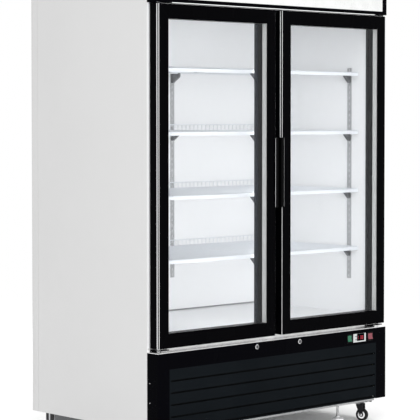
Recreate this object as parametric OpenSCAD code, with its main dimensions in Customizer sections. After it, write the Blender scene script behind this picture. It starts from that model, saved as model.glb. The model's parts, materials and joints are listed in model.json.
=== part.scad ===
// Two-door upright glass door merchandiser with a lit header, a bottom machine
// compartment, swivel casters and two levelling legs.
// Millimetres. +Z is up, the front faces -Y, and the origin is on the floor,
// under the middle of the overall box.

/* [Cabinet] */
// Overall width across the side panels
body_w = 1370; // [1200:10:1500]
// Depth from the face of the doors to the rear panel
body_d = 800; // [760:10:860]
// Overall height from the floor
body_h = 2060; // [1980:10:2140]
// Thickness of the outer sheet metal
skin_t = 1.5; // [1:0.5:2]
// Height of the lower edge of the side panels
skirt_z = 105; // [95:1:115]
// Depth of the doors, header and fascia in front of the cabinet
front_t = 62; // [60:1:66]

/* [Doors] */
// Width of one door
door_w = 654; // [560:2:700]
// Gap between the two doors
door_gap = 42; // [36:1:50]
// Height of the lower edge of the doors
door_z0 = 439.5; // [436:0.5:445]
// Height of the upper edge of the doors
door_z1 = 1803; // [1700:1:1803]
// Thickness of the door frame
door_t = 54; // [50:1:56]
// Width of the upright parts of the door frame
stile_w = 50; // [44:1:60]
// Width of the level parts of the door frame
rail_w = 58; // [50:1:70]
// Height of the middle of the handles
handle_z = 1124.5; // [900:0.5:1300]
// Length of the handles
handle_h = 293; // [200:1:400]
// How far the handles stand in front of the doors
handle_out = 6; // [4:1:10]

/* [Header] */
// Height of the lower edge of the header
header_z = 1809; // [1808:1:1815]
// Width of the black border round the sign
sign_border = 15; // [10:1:25]

/* [Lower front] */
// Height of the top of the fascia
fascia_z = 421; // [415:1:422]
// Height of the joint between the control band and the louvre panel
band_z = 355; // [345:1:365]
// Width of the corner posts
post_w = 64; // [50:1:80]
// Spacing of the louvres
louvre_pitch = 48; // [40:1:60]
// Number of louvres
louvre_n = 5; // [3:1:5]
// Distance of each lock from the middle
lock_x = 129; // [100:1:200]
// Height of the locks
lock_z = 402; // [398:1:404]
// Height of the middle of the controls
control_z = 386; // [384:1:390]

/* [Interior] */
// Half of the width between the inner walls
liner_x = 635; // [600:1:640]
// Height of the inner floor
floor_z = 477; // [470:1:485]
// Height of the top of the front opening
mouth_z = 1765; // [1750:1:1770]
// Height of the inner ceiling
ceiling_z = 2000; // [1980:1:2005]
// Depth of the inner rear wall behind the doors' face
liner_d = 750; // [700:1:755]
// Half of the width of the centre mullion
mullion_x = 52; // [50:1:60]
// Depth of the rear face of the centre mullion
mullion_d = 96; // [90:1:110]

/* [Shelves] */
// Number of shelf levels
levels = 4; // [3:1:4]
// Height of the lowest shelf's front edge
shelf_z0 = 768; // [700:1:800]
// Height from one shelf to the next
shelf_pitch = 260; // [220:1:262]
// Depth of the shelves' front edge behind the doors' face
shelf_d0 = 117; // [115:1:140]
// Depth of the shelves' rear edge
shelf_d1 = 715; // [600:1:720]
// Height of the rear lip above the wires
lip_h = 25; // [15:1:40]
// Spacing of the shelf wires
wire_pitch = 25; // [20:1:30]

/* [Casters and legs] */
// Radius of the caster wheels
wheel_r = 28; // [25:1:32]
// Width of the caster wheels
wheel_w = 20; // [16:1:24]
// Distance of the casters from the middle
caster_x = 592; // [560:1:600]
// Offset of each wheel's axle from its swivel pin
trail = 20; // [16:1:22]
// Direction of that offset at rest, in degrees from +X
caster_yaw = -72; // [-180:1:180]
// Distance of the levelling legs from the middle
leg_x = 435; // [380:1:460]

/* [Hidden] */
$fn = 48;

// Colours
white = [0.93, 0.94, 0.94];
panel_grey = [0.87, 0.87, 0.87];
gloss_black = [0.02, 0.02, 0.03];
matt_black = [0.08, 0.09, 0.1];
steel = [0.72, 0.73, 0.74];
dark_steel = [0.35, 0.36, 0.38];
copper = [0.72, 0.45, 0.3];
grey_rubber = [0.75, 0.76, 0.76];

// Frame of the part: d is a depth behind the doors' face, so y = front_y + d
front_y = handle_out - (body_d + handle_out) / 2;
half_w = body_w / 2;
run_clear = 0.05;   // radial clearance of a pin or shaft in its bore
part_gap = 0.3;     // space kept between parts that move past each other
eps = 0.5;          // how far a cutter runs past the face that it cuts

// Doors
door_in = door_gap / 2;               // inner edge of each door
door_out = door_in + door_w;          // outer edge of each door
glass_in = door_in + stile_w;
glass_out = door_out - stile_w;
glass_z0 = door_z0 + rail_w;
glass_z1 = door_z1 - rail_w;
face_t = 2.5;                         // front lip of the door frame
pane_t = 4;
unit_d1 = 32;                         // rear face of the glass unit
unit_edge = 6;                        // glass unit's edge hidden by the frame's lip
wall_t = 3;                           // walls of the hollow door frame
groove = [20, 26];                    // gasket groove, from the door's edge
gasket_span = [14, 30];               // gasket's width, from the door's edge
hinge_x = door_out - 15;              // hinge axis
hinge_d = 22;
hinge_pin_r = 5;
hinge_pin_in = 20;                    // pin length inside the door
hinge_bore = 22;
hinge_block = [30, 44];               // solid block round each hinge bore

// Lower front
sill_t = 2;
louvre_z1 = band_z - 43;              // first groove below the control band
louvre_gap = 8;                       // height of each louvre's slot
lock_r = 9;
lock_rim_r = 10;
core_r = 6;
cam_d = 15;                           // depth of the lock's tongue
cam_t = 3;
cam_l = 46;
cam_w = 12;
tongue_slot_x = [-lock_x - cam_w, -lock_x + cam_l + 4];
tongue_slot_d = [cam_d - 3, cam_d + cam_t + 3];
rocker_w = [24, 28];                  // widths of the green and red rockers
rocker_x = [445.5, 581.5];
rocker_h = 28;
rocker_t = 9;
rocker_d = 4;                         // depth of the rockers' pins
rocker_tilt = 7;
rocker_pin_r = 1.5;
frame_play = 0.4;                     // gap beside each rocker
frame_wall = 2;
frame_h = rocker_h + 4;               // height inside each rocker's frame
controller_cut = [35.5, 14.5];        // half width and half height of the controller's body
thermostat_x = 508.5;
thermostat_w = 81;
thermostat_h = 37;
bezel_t = 3;
key_x = 484;
key_rise = 7;                         // each key's distance above or below the middle
key_r = 3.2;
key_in = 4.5;                         // depth of the keys' rear ends
key_travel = 1;

// Interior
liner_t = 2;
lintel_d = 112;                       // depth of the wall above the front opening
pilaster_w = 24;
pilaster_t = 2;
pilaster_z = [630, 1578];
pilaster_x = 78;                      // rear pilasters' distance from the middle
mullion_pilaster_x = 34;
side_pilaster_d = [174, 690];
slot_pitch = 25;
wire_r = 2;
shelf_in = 8;                         // shelf ends beside the middle
shelf_out = liner_x - 9;
band_h = 14;                          // height of a shelf's front edge
wire_top = 11;                        // top of the wires above the shelf's height
clip_w = 12;
clip_h = 30;

// Base and machine
rail_h = 18;
rail_z = skirt_z - rail_h;
deck_t = 2;
deck_z = skirt_z + deck_t;
machine_top = 425;
back_d = body_d - skin_t;
grille_d = 788;                       // recessed lower rear cover
fan_x = -240;
fan_z = 262;
fan_r = 112;
shaft_r = 4;
evap_z0 = 1835;
evap_fan_x = 0;
evap_fan_r = 62;
evap_mid_z = (evap_z0 + ceiling_z) / 2;

// Casters
front_caster_d = 80;
rear_caster_d = 672;
plate_t = 4;
plate_w = 60;
kingpin_r = 5;
fork_top = rail_z - plate_t - 0.5;
fork_t = 6;
fork_wall = 2.5;
fork_gap = 1;                         // space each side of the wheel
axle_r = 4;
leg_d = 60;                           // depth of the levelling legs
thread_r = 6;
casters = [["fl", -caster_x, front_caster_d], ["fr", caster_x, front_caster_d],
    ["rl", -caster_x, rear_caster_d], ["rr", caster_x, rear_caster_d]];

// ---- shared shapes ----

// A box from ranges of x, depth and z
module slab(x, d, z) {
    translate([x[0], front_y + d[0], z[0]])
        cube([x[1] - x[0], d[1] - d[0], z[1] - z[0]]);
}

// A rectangular frame in the XZ plane, w wide at the sides and h at top and bottom
module ring(x, z, w, h, d) {
    difference() {
        slab(x, d, z);
        slab([x[0] + w, x[1] - w], [d[0] - eps, d[1] + eps], [z[0] + h, z[1] - h]);
    }
}

// A round bar along Y, X or Z
module rod_y(x, z, r, d) {
    translate([x, front_y + d[0], z]) rotate([-90, 0, 0]) cylinder(r = r, h = d[1] - d[0]);
}
module rod_x(d, z, r, x) {
    translate([x[0], front_y + d, z]) rotate([0, 90, 0]) cylinder(r = r, h = x[1] - x[0]);
}
module rod_z(x, d, r, z) {
    translate([x, front_y + d, z[0]]) cylinder(r = r, h = z[1] - z[0]);
}

// The same shape mirrored to the other side
module both_sides() {
    children();
    mirror([1, 0, 0]) children();
}

// ---- outer casing ----

module side_panel() {
    fold = 12;
    color(panel_grey) {
        slab([-half_w, -half_w + skin_t], [front_t, body_d], [skirt_z, body_h]);
        slab([-half_w + skin_t, -half_w + fold], [body_d - skin_t, body_d], [skirt_z, body_h]);
    }
}
module side_panel_left() { side_panel(); }
module side_panel_right() { mirror([1, 0, 0]) side_panel(); }

module top_panel() {
    color(panel_grey)
        slab([-half_w + skin_t, half_w - skin_t], [front_t, back_d], [body_h - skin_t, body_h]);
}

module rear_panel() {
    color(panel_grey)
        slab([-half_w + 12, half_w - 12], [back_d, body_d], [machine_top, body_h]);
}

// Lower rear cover with rows of vent slots and a cut-out for the power inlet
module rear_grille() {
    slot = [90, 8];
    pitch = [150, 25];
    count = [8, 7];
    first = [-525, 210];
    span = half_w - 14;
    color(panel_grey) translate([0, front_y + grille_d + skin_t, 0]) rotate([90, 0, 0])
        linear_extrude(skin_t) difference() {
            translate([-span, deck_z]) square([2 * span, machine_top - deck_z]);
            for (i = [0:count[0] - 1], j = [0:count[1] - 1])
                translate([first[0] + i * pitch[0], first[1] + j * pitch[1]]) square(slot);
            translate([-inlet_w / 2 + inlet_x, inlet_z - inlet_h / 2]) square([inlet_w, inlet_h]);
        }
}

module insulation() {
    inner = liner_x + liner_t;
    color([0.93, 0.88, 0.7]) difference() {
        slab([-half_w + skin_t, half_w - skin_t], [front_t + sill_t, back_d],
            [machine_top, body_h - skin_t]);
        slab([-inner, inner], [front_t - eps, liner_d + liner_t],
            [floor_z - liner_t, mouth_z + liner_t]);
        slab([-inner, inner], [lintel_d - liner_t, liner_d + liner_t],
            [mouth_z, ceiling_z + liner_t]);
        rod_z(riser_x, riser_d, pipe_r, [machine_top - eps, riser_z + pipe_r]);
        rod_y(riser_x, riser_z, pipe_r, [liner_d, riser_d]);
    }
}

module inner_liner() {
    outer = liner_x + liner_t;
    color(white) difference() {
        union() {
            slab([-outer, outer], [front_t + sill_t, liner_d + liner_t],
                [floor_z - liner_t, mouth_z + liner_t]);
            slab([-outer, outer], [lintel_d - liner_t, liner_d + liner_t],
                [mouth_z, ceiling_z + liner_t]);
        }
        slab([-liner_x, liner_x], [front_t, liner_d], [floor_z, mouth_z]);
        slab([-liner_x, liner_x], [lintel_d, liner_d], [mouth_z - eps, ceiling_z]);
        rod_y(riser_x, riser_z, pipe_r, [liner_d - eps, liner_d + liner_t + eps]);
    }
}

// Sheet round the front opening, with a lip that reaches into the liner
module front_flange() {
    lip = 12;
    color(white) difference() {
        union() {
            slab([-half_w + skin_t, half_w - skin_t], [front_t, front_t + sill_t],
                [machine_top, body_h - skin_t]);
            slab([-liner_x, liner_x], [front_t, front_t + lip], [floor_z, mouth_z]);
        }
        slab([-liner_x + sill_t, liner_x - sill_t], [front_t - eps, front_t + lip + eps],
            [floor_z + sill_t, mouth_z - sill_t]);
    }
}

module centre_mullion() {
    color(gloss_black) difference() {
        slab([-mullion_x, mullion_x], [front_t, mullion_d], [floor_z + sill_t, mouth_z - sill_t]);
        slab([-mullion_x + wall_t, mullion_x - wall_t], [front_t + wall_t, mullion_d - wall_t],
            [floor_z + sill_t - eps, mouth_z - sill_t + eps]);
    }
}

// Rails under the cabinet and the deck that carries the compressor
module base_frame() {
    outer = half_w - 3;
    front_x = half_w - 24;
    side_w = 28;
    rail_d = [45, 708];
    rail_t = 30;
    side_drop = 15;
    color(steel) difference() {
        union() {
            slab([-outer, outer], [front_t + sill_t, grille_d], [skirt_z, deck_z]);
            slab([-front_x, front_x], [rail_d[0], rail_d[0] + rail_t], [rail_z, skirt_z]);
            slab([-outer, outer], [rail_d[1] - rail_t, rail_d[1]], [rail_z, skirt_z]);
            both_sides()
                slab([-outer, -outer + side_w], [front_t + sill_t + rail_t, rail_d[1]],
                    [rail_z - side_drop, skirt_z]);
        }
        for (s = [-1, 1]) rod_z(s * leg_x, leg_d, thread_r + run_clear, [rail_z - eps, deck_z + eps]);
    }
}

// ---- header ----

sign_x = half_w - sign_border - 12;
sign_z = [header_z + sign_border, body_h - sign_border];

// Hollow header, open behind and with a window for the sign in its face
module header_box() {
    wall = 4;
    face = 3;
    color(gloss_black) difference() {
        slab([-half_w, half_w], [0, front_t], [header_z, body_h]);
        slab([-sign_x, sign_x], [-eps, face + eps], sign_z);
        slab([-half_w + wall, half_w - wall], [face, front_t + eps],
            [header_z + face, body_h - face]);
    }
}

module sign_panel() {
    color([0.97, 0.97, 0.96]) slab([-sign_x, sign_x], [1, 3], sign_z);
}

// Lit strips: one in the header and one on each side of the mullion's rear face
module led_lamps() {
    header_lamp = [600, 10];
    mid_z = (header_z + body_h) / 2;
    color([0.95, 0.95, 0.9]) {
        slab([-header_lamp[0], header_lamp[0]], [front_t - 22, front_t],
            [mid_z - header_lamp[1], mid_z + header_lamp[1]]);
        both_sides() slab([-18, -4], [mullion_d, mullion_d + 12], [floor_z + 83, mouth_z - 65]);
    }
}

// ---- lower front ----

module corner_post() {
    color(gloss_black) difference() {
        slab([-half_w, -half_w + post_w], [0, front_t], [skirt_z, fascia_z]);
        slab([-half_w + 2, -half_w + post_w + eps], [2, front_t + eps],
            [skirt_z - eps, fascia_z + eps]);
        for (z = post_screw_z) rod_x(post_screw_d, z, screw_r, [-half_w - eps, -half_w + 3]);
    }
}
module corner_posts() { both_sides() corner_post(); }

module fascia_band() {
    span = half_w - post_w;
    lip = 12;
    color(gloss_black) difference() {
        union() {
            slab([-span, span], [0, 2], [band_z, fascia_z]);
            slab([-span, span], [2, lip], [band_z, band_z + 2]);
            slab([-span, span], [2, lip], [fascia_z - 2, fascia_z]);
        }
        for (s = [-1, 1]) rod_y(s * lock_x, lock_z, lock_r, [-eps, 3]);
        for (i = [0, 1]) rocker_box(i, frame_play + frame_wall, frame_h / 2 + frame_wall, [-eps, 3]);
        slab([thermostat_x - controller_cut[0], thermostat_x + controller_cut[0]], [-eps, 3],
            [control_z - controller_cut[1], control_z + controller_cut[1]]);
    }
}

// Louvre panel: slots under sloping blades
module louvre_panel() {
    span = half_w - post_w;
    blade = 14;
    end = 8;
    color(matt_black) difference() {
        union() {
            slab([-span, span], [0, 2], [skirt_z + 1, band_z]);
            both_sides() slab([-span, -span + 2], [2, blade], [skirt_z + 1, band_z]);
            for (i = [0:louvre_n - 1])
                translate([-span + end, front_y, louvre_z1 - i * louvre_pitch])
                    rotate([90, 0, 90]) linear_extrude(2 * (span - end))
                        polygon([[0, 0], [2, 0], [blade, louvre_gap + 4], [blade, louvre_gap + 6],
                            [0, 2]]);
        }
        for (i = [0:louvre_n - 1])
            slab([-span + end, span - end], [-eps, 1.2],
                [louvre_z1 - louvre_gap - i * louvre_pitch, louvre_z1 - i * louvre_pitch]);
        for (i = [0:louvre_n - 1])
            slab([-span + end, span - end], [-eps, 3],
                [louvre_z1 - louvre_gap - i * louvre_pitch, louvre_z1 - i * louvre_pitch - 2]);
    }
}

// Bright strip between the fascia and the doors, slotted over the locks
module door_sill() {
    color(steel) difference() {
        union() {
            slab([-half_w + 0.5, half_w - 0.5], [0.5, front_t], [fascia_z, fascia_z + sill_t]);
            slab([-half_w + 0.5, half_w - 0.5], [front_t - 2, front_t],
                [fascia_z + sill_t, door_z0 - 0.5]);
        }
        both_sides() slab(tongue_slot_x, tongue_slot_d, [fascia_z - eps, fascia_z + sill_t + eps]);
    }
}

// Bright-framed controller with two round keys beside its window
module thermostat() {
    x0 = thermostat_x - thermostat_w / 2;
    color(white) difference() {
        union() {
            slab([x0, x0 + thermostat_w], [-bezel_t, 0],
                [control_z - thermostat_h / 2, control_z + thermostat_h / 2]);
            slab([thermostat_x - controller_cut[0], thermostat_x + controller_cut[0]], [0, 55],
                [control_z - controller_cut[1], control_z + controller_cut[1]]);
        }
        for (s = [-1, 1])
            rod_y(key_x, control_z + s * key_rise, key_r + run_clear,
                [-bezel_t - eps, key_in + 0.5 + key_travel]);
        slab([x0 + 26, x0 + thermostat_w - 10], [-bezel_t - eps, -bezel_t + 1],
            [control_z - 12, control_z + 15]);
    }
}
module key(s) {
    color(dark_steel) rod_y(key_x, control_z + s * key_rise, key_r, [-bezel_t - 1.2, key_in]);
}
module key_up() { key(1); }
module key_down() { key(-1); }

// A box round rocker i: side is the space beside it, up is half of the height
module rocker_box(i, side, up, d) {
    slab([rocker_x[i] - rocker_w[i] / 2 - side, rocker_x[i] + rocker_w[i] / 2 + side], d,
        [control_z - up, control_z + up]);
}

// Rocker switch: a block with a shallow V front, which turns on side pins
module rocker(i) {
    w = rocker_w[i];
    front = -rocker_d - 0.5;
    rise = 2;
    rear = rocker_t - rocker_d;
    translate([rocker_x[i], front_y + rocker_d, control_z]) rotate([-rocker_tilt, 0, 0]) {
        translate([-w / 2, 0, 0]) rotate([90, 0, 90])
            linear_extrude(w) polygon([[front, 0], [front - rise, rocker_h / 2 - 1],
                [rear - 2, rocker_h / 2 - 3], [rear, 0],
                [rear - 2, -rocker_h / 2 + 3], [front - rise, -rocker_h / 2 + 1]]);
        translate([-w / 2 - frame_play - 1.5, 0, 0]) rotate([0, 90, 0])
            cylinder(r = rocker_pin_r, h = w + 2 * (frame_play + 1.5));
    }
}
module rocker_green() { color([0.05, 0.6, 0.4]) rocker(0); }
module rocker_red() { color([0.75, 0.15, 0.25]) rocker(1); }

// Lock barrels and the frames that the rockers turn in
module front_bezels() {
    color(steel) for (s = [-1, 1]) difference() {
        union() {
            rod_y(s * lock_x, lock_z, lock_rim_r, [-1.5, 0]);
            rod_y(s * lock_x, lock_z, lock_r, [0, cam_d - 1]);
        }
        rod_y(s * lock_x, lock_z, core_r + run_clear, [-2, cam_d]);
    }
    color(matt_black) for (i = [0, 1]) difference() {
        union() {
            rocker_box(i, frame_play + frame_wall, frame_h / 2 + frame_wall, [0, 24]);
            rocker_box(i, frame_play + frame_wall + 1, frame_h / 2 + frame_wall + 1, [-1.2, 0]);
        }
        rocker_box(i, frame_play, frame_h / 2, [-2, 22]);
        rod_x(rocker_d, control_z, rocker_pin_r + run_clear,
            [rocker_x[i] - rocker_w[i] / 2 - 2, rocker_x[i] + rocker_w[i] / 2 + 2]);
    }
}

// Key plug with its slot, and the tongue behind it that lies level when unlocked
module lock_core(s) {
    color(steel) difference() {
        union() {
            rod_y(s * lock_x, lock_z, core_r, [-1.8, cam_d + cam_t]);
            slab([s * lock_x - (s > 0 ? cam_l : cam_w / 2), s * lock_x + (s > 0 ? cam_w / 2 : cam_l)],
                [cam_d, cam_d + cam_t], [lock_z - cam_w / 2, lock_z + cam_w / 2]);
        }
        slab([s * lock_x - 0.8, s * lock_x + 0.8], [-2, 6], [lock_z - 4, lock_z + 4]);
    }
}
module lock_core_left() { lock_core(-1); }
module lock_core_right() { lock_core(1); }

// ---- hinges ----

low_hinge = [430, 434];

// One side: lower and upper plates with their riveted pins
module hinge_side() {
    plate_d = 8;
    head_r = 7.5;
    high = [header_z - 5, header_z - 1];
    plate = [-hinge_x - 12, -hinge_x + 45];
    color(matt_black) {
        slab(plate, [plate_d, front_t - 2], low_hinge);
        slab(plate, [front_t - 5, front_t - 2], [fascia_z + sill_t, low_hinge[0]]);
        slab(plate, [plate_d, front_t], high);
        rod_z(-hinge_x, hinge_d, head_r, [high[1], header_z]);
    }
    color(steel) {
        rod_z(-hinge_x, hinge_d, head_r, [low_hinge[0] - 5, low_hinge[0]]);
        rod_z(-hinge_x, hinge_d, hinge_pin_r, [low_hinge[1], door_z0 + hinge_pin_in]);
        rod_z(-hinge_x, hinge_d, hinge_pin_r, [door_z1 - hinge_pin_in, high[0]]);
    }
}
module door_hinges() { both_sides() hinge_side(); }

// ---- doors (drawn on the left, mirrored for the right) ----

module door_frame() {
    x = [-door_out, -door_in];
    z = [door_z0, door_z1];
    mid = stile_w - unit_edge - wall_t;
    color(gloss_black) difference() {
        union() {
            difference() {
                ring(x, z, stile_w, rail_w, [0, door_t]);
                ring([x[0] + stile_w - unit_edge, x[1] - stile_w + unit_edge],
                    [z[0] + rail_w - unit_edge, z[1] - rail_w + unit_edge],
                    unit_edge + eps, unit_edge + eps, [face_t, unit_d1]);
                ring([x[0] + wall_t, x[1] - wall_t], [z[0] + wall_t, z[1] - wall_t],
                    mid - wall_t, mid - wall_t + rail_w - stile_w, [face_t, door_t - wall_t]);
                ring([x[0] + groove[0], x[1] - groove[0]], [z[0] + groove[0], z[1] - groove[0]],
                    groove[1] - groove[0], groove[1] - groove[0], [door_t - wall_t - eps, door_t + eps]);
            }
            for (low = [z[0] + wall_t, z[1] - wall_t - hinge_bore])
                slab([-door_out + wall_t, -door_out + hinge_block[0]], [face_t, hinge_block[1]],
                    [low, low + hinge_bore]);
        }
        rod_z(-hinge_x, hinge_d, hinge_pin_r + run_clear, [z[0] - eps, z[0] + hinge_bore]);
        rod_z(-hinge_x, hinge_d, hinge_pin_r + run_clear, [z[1] - hinge_bore, z[1] + eps]);
        slab(tongue_slot_x, tongue_slot_d, [z[0] - eps, z[0] + wall_t + eps]);
    }
}
module door_frame_left() { door_frame(); }
module door_frame_right() { mirror([1, 0, 0]) door_frame(); }

// Two panes and the bright spacer round their edge
module glass_unit() {
    e = unit_edge;
    x = [-glass_out, -glass_in];
    color([0.8, 0.9, 0.92, 0.3]) {
        slab(x, [face_t, face_t + pane_t], [glass_z0, glass_z1]);
        slab(x, [unit_d1 - pane_t, unit_d1], [glass_z0, glass_z1]);
    }
    color(steel)
        ring([x[0] - e, x[1] + e], [glass_z0 - e, glass_z1 + e], e, e, [face_t, unit_d1]);
}
module glass_unit_left() { glass_unit(); }
module glass_unit_right() { mirror([1, 0, 0]) glass_unit(); }

module gasket() {
    w = gasket_span[1] - gasket_span[0];
    g = gasket_span[0];
    dart = groove[0] + 0.2;
    color(grey_rubber) {
        ring([-door_out + g, -door_in - g], [door_z0 + g, door_z1 - g], w, w,
            [door_t, front_t - part_gap]);
        ring([-door_out + dart, -door_in - dart], [door_z0 + dart, door_z1 - dart], 5.6, 5.6,
            [door_t - 4, door_t]);
    }
}
module gasket_left() { gasket(); }
module gasket_right() { mirror([1, 0, 0]) gasket(); }

// Handle: a channel on the door's edge, open towards the middle for the fingers
module handle() {
    lip_x = 26;
    pull_x = 9;
    t = 3;
    d1 = 34;
    z = [handle_z - handle_h / 2, handle_z + handle_h / 2];
    color(gloss_black) {
        slab([-lip_x, -pull_x], [-handle_out, -handle_out + t], z);
        slab([-lip_x, -door_in], [-handle_out + t, 0], z);
        slab([-door_in, -door_in + t], [-handle_out + t, d1], z);
        slab([-door_in + t, -pull_x], [d1 - t, d1], z);
        slab([-pull_x - 2, -pull_x], [-handle_out + t, -handle_out + t + 4], z);
    }
}
module handle_left() { handle(); }
module handle_right() { mirror([1, 0, 0]) handle(); }

// ---- shelf supports and shelves ----

// A slotted strip lying in XZ, pilaster_t thick along +Y
module pilaster() {
    h = pilaster_z[1] - pilaster_z[0];
    n = floor((h - 20) / slot_pitch);
    translate([0, pilaster_t, 0]) rotate([90, 0, 0]) linear_extrude(pilaster_t) difference() {
        translate([-pilaster_w / 2, 0]) square([pilaster_w, h]);
        for (i = [0:n]) translate([-2, 12 + i * slot_pitch - 6]) square([4, 12]);
    }
}

// Places a strip or a clip against each wall: [x, depth, turn about Z]
supports = concat(
    [for (s = [-1, 1]) [s * pilaster_x, liner_d, 0]],
    [for (s = [-1, 1]) [s * mullion_pilaster_x, mullion_d, 180]],
    [for (s = [-1, 1], d = side_pilaster_d) [s * liner_x, d, -s * 90]]);

module on_supports() {
    for (p = supports)
        translate([p[0], front_y + p[1], 0]) rotate([0, 0, p[2]]) children();
}

module pilasters() {
    color(steel) on_supports() translate([0, -pilaster_t, pilaster_z[0]]) pilaster();
}

// Triangular clip that carries a shelf's corner; under is how far its deep part
// starts below its top
module clip(reach, under) {
    translate([-clip_w / 2, -pilaster_t, 0]) rotate([90, 0, 90]) linear_extrude(clip_w)
        polygon([[0, 0], [-reach, 0], [-reach, -under - 3], [-7, -under - clip_h],
            [0, -under - clip_h]]);
}
module shelf_clips() {
    wire_z = wire_top - 2 * wire_r;
    color(dark_steel) for (i = [0:levels - 1], p = supports) {
        at_mullion = p[2] == 180;
        top = at_mullion ? -band_h / 2 : wire_z;
        translate([p[0], front_y + p[1], shelf_z0 + i * shelf_pitch + top]) rotate([0, 0, p[2]])
            clip(at_mullion ? 34 : p[2] == 0 ? 48 : 36, at_mullion ? 0 : wire_z + band_h / 2);
    }
}

// One shelf: a grid of wires with a deep front edge and an upturned rear lip
module shelf(z) {
    x = [-shelf_out, -shelf_in];
    n = floor((x[1] - x[0] - 2 * wire_r) / wire_pitch);
    step = (x[1] - x[0] - 2 * wire_r) / n;
    gap = step - 2 * wire_r;
    bars = [shelf_d0 + 8, (shelf_d0 + shelf_d1) / 2, shelf_d1];
    slab(x, [shelf_d0 - 3, shelf_d0 + 3], [z - band_h / 2, z + band_h / 2]);
    translate([0, front_y, z + wire_top - 2 * wire_r]) linear_extrude(2 * wire_r) difference() {
        translate([x[0], shelf_d0 - 3]) square([x[1] - x[0], shelf_d1 + 3 - shelf_d0 + 3]);
        for (i = [0:n - 1], b = [0:1])
            translate([x[0] + 2 * wire_r + i * step, bars[b] + 3])
                square([gap, bars[b + 1] - bars[b] - 6]);
    }
    slab(x, [shelf_d0 - 3, shelf_d0 + 3], [z, z + wire_top]);
    translate([0, front_y + shelf_d1 + 3, z + wire_top]) rotate([90, 0, 0])
        linear_extrude(2 * wire_r) difference() {
            translate([x[0], 0]) square([x[1] - x[0], lip_h]);
            for (i = [0:n - 1]) translate([x[0] + 2 * wire_r + i * step, -eps])
                square([gap, lip_h - 5 + eps]);
        }
}
module shelves() {
    color(white) for (i = [0:levels - 1]) shelf(shelf_z0 + i * shelf_pitch);
}
module shelves_left() { shelves(); }
module shelves_right() { mirror([1, 0, 0]) shelves(); }

// ---- refrigeration ----

// A fan of flat pitched blades round a bored hub, its axis along Y
module fan(x, z, r, d, blades, bore_d) {
    hub = r * 0.3;
    depth = d[1] - d[0];
    translate([x, front_y + d[0], z]) rotate([-90, 0, 0]) difference() {
        union() {
            cylinder(r = hub, h = depth);
            for (i = [0:blades - 1]) rotate([0, 0, i * 360 / blades])
                translate([hub - 3, 0, depth / 2]) rotate([28, 0, 0])
                    translate([0, -r * 0.28, -1]) cube([r - hub, r * 0.56, 2]);
        }
        translate([0, 0, bore_d[0]]) cylinder(r = shaft_r + run_clear, h = bore_d[1] - bore_d[0]);
    }
}

// A coil: a fin block between end plates with the tube returns at one end
module coil(x, d, z, rows) {
    n = floor((z[1] - z[0] - 20) / 40);
    slab([x[0] + 8, x[1] - 8], d, z);
    slab([x[0] + 6, x[0] + 8], [d[0] - 3, d[1] + 3], [z[0] - 3, z[1] + 3]);
    slab([x[1] - 8, x[1] - 6], [d[0] - 3, d[1] + 3], [z[0] - 3, z[1] + 3]);
    for (i = [0:n], j = [0:rows - 1]) {
        rod_x(d[0] + (d[1] - d[0]) * (j + 0.5) / rows, z[0] + 15 + i * 40, 4.5, [x[0], x[0] + 6]);
        rod_x(d[0] + (d[1] - d[0]) * (j + 0.5) / rows, z[0] + 15 + i * 40, 4.5, [x[1] - 6, x[1]]);
    }
}

evap_x = 520;
evap_d = [300, 720];
coil_d = [480, 600];
module evaporator_cover() {
    t = 2;
    color(white) difference() {
        slab([-evap_x, evap_x], evap_d, [evap_z0, ceiling_z]);
        slab([-evap_x + t, evap_x - t], [evap_d[0] + t, evap_d[1] + eps],
            [evap_z0 + t, ceiling_z + eps]);
        rod_y(evap_fan_x, evap_mid_z, evap_fan_r + 6, [evap_d[0] - eps, evap_d[0] + t + eps]);
    }
}
module evaporator_coil() {
    color([0.8, 0.8, 0.8]) {
        coil([-evap_x + 20, evap_x - 20], coil_d, [evap_z0 + 12, ceiling_z - 8], 3);
        rod_y(evap_fan_x, evap_mid_z, 28, [380, coil_d[0]]);
        rod_y(evap_fan_x, evap_mid_z, shaft_r, [345, 380]);
    }
}
module evaporator_fan() {
    color(gloss_black) fan(evap_fan_x, evap_mid_z, evap_fan_r, [338, 366], 5, [6, 29]);
}

comp_x = 150;
comp_d = 420;
// Domed compressor on a plate with four feet, and its terminal box
module compressor() {
    r = 85;
    dome = [130, 50];
    plate = [210, 150, 4];
    foot_z = deck_z + 14;
    color(gloss_black) translate([comp_x, front_y + comp_d, 0]) {
        translate([0, 0, foot_z + plate[2]]) rotate_extrude()
            polygon(concat([[0, 0], [r - 20, 0]],
                [for (a = [0:15:90]) [r - 20 + 20 * sin(a), 20 - 20 * cos(a)]],
                [for (a = [0:10:90]) [r * cos(a), dome[0] + dome[1] * sin(a)]]));
        translate([-plate[0] / 2, -plate[1] / 2, foot_z]) cube(plate);
        translate([r - 8, -25, foot_z + 60]) cube([40, 50, 60]);
        for (sx = [-1, 1], sy = [-1, 1])
            translate([sx * 90, sy * 60, deck_z]) cylinder(r = 12, h = 14);
    }
}

cond_x = [-400, -80];
cond_d = [95, 135];
cond_z = [deck_z + 13, 405];
shroud_d = 175;
motor_d = 225;
module condenser_coil() {
    color([0.75, 0.75, 0.75]) {
        coil(cond_x, cond_d, cond_z, 2);
        for (x = [cond_x[0] + 6, cond_x[1] - 26])
            slab([x, x + 20], cond_d, [deck_z, cond_z[0] - 3]);
    }
}

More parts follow.
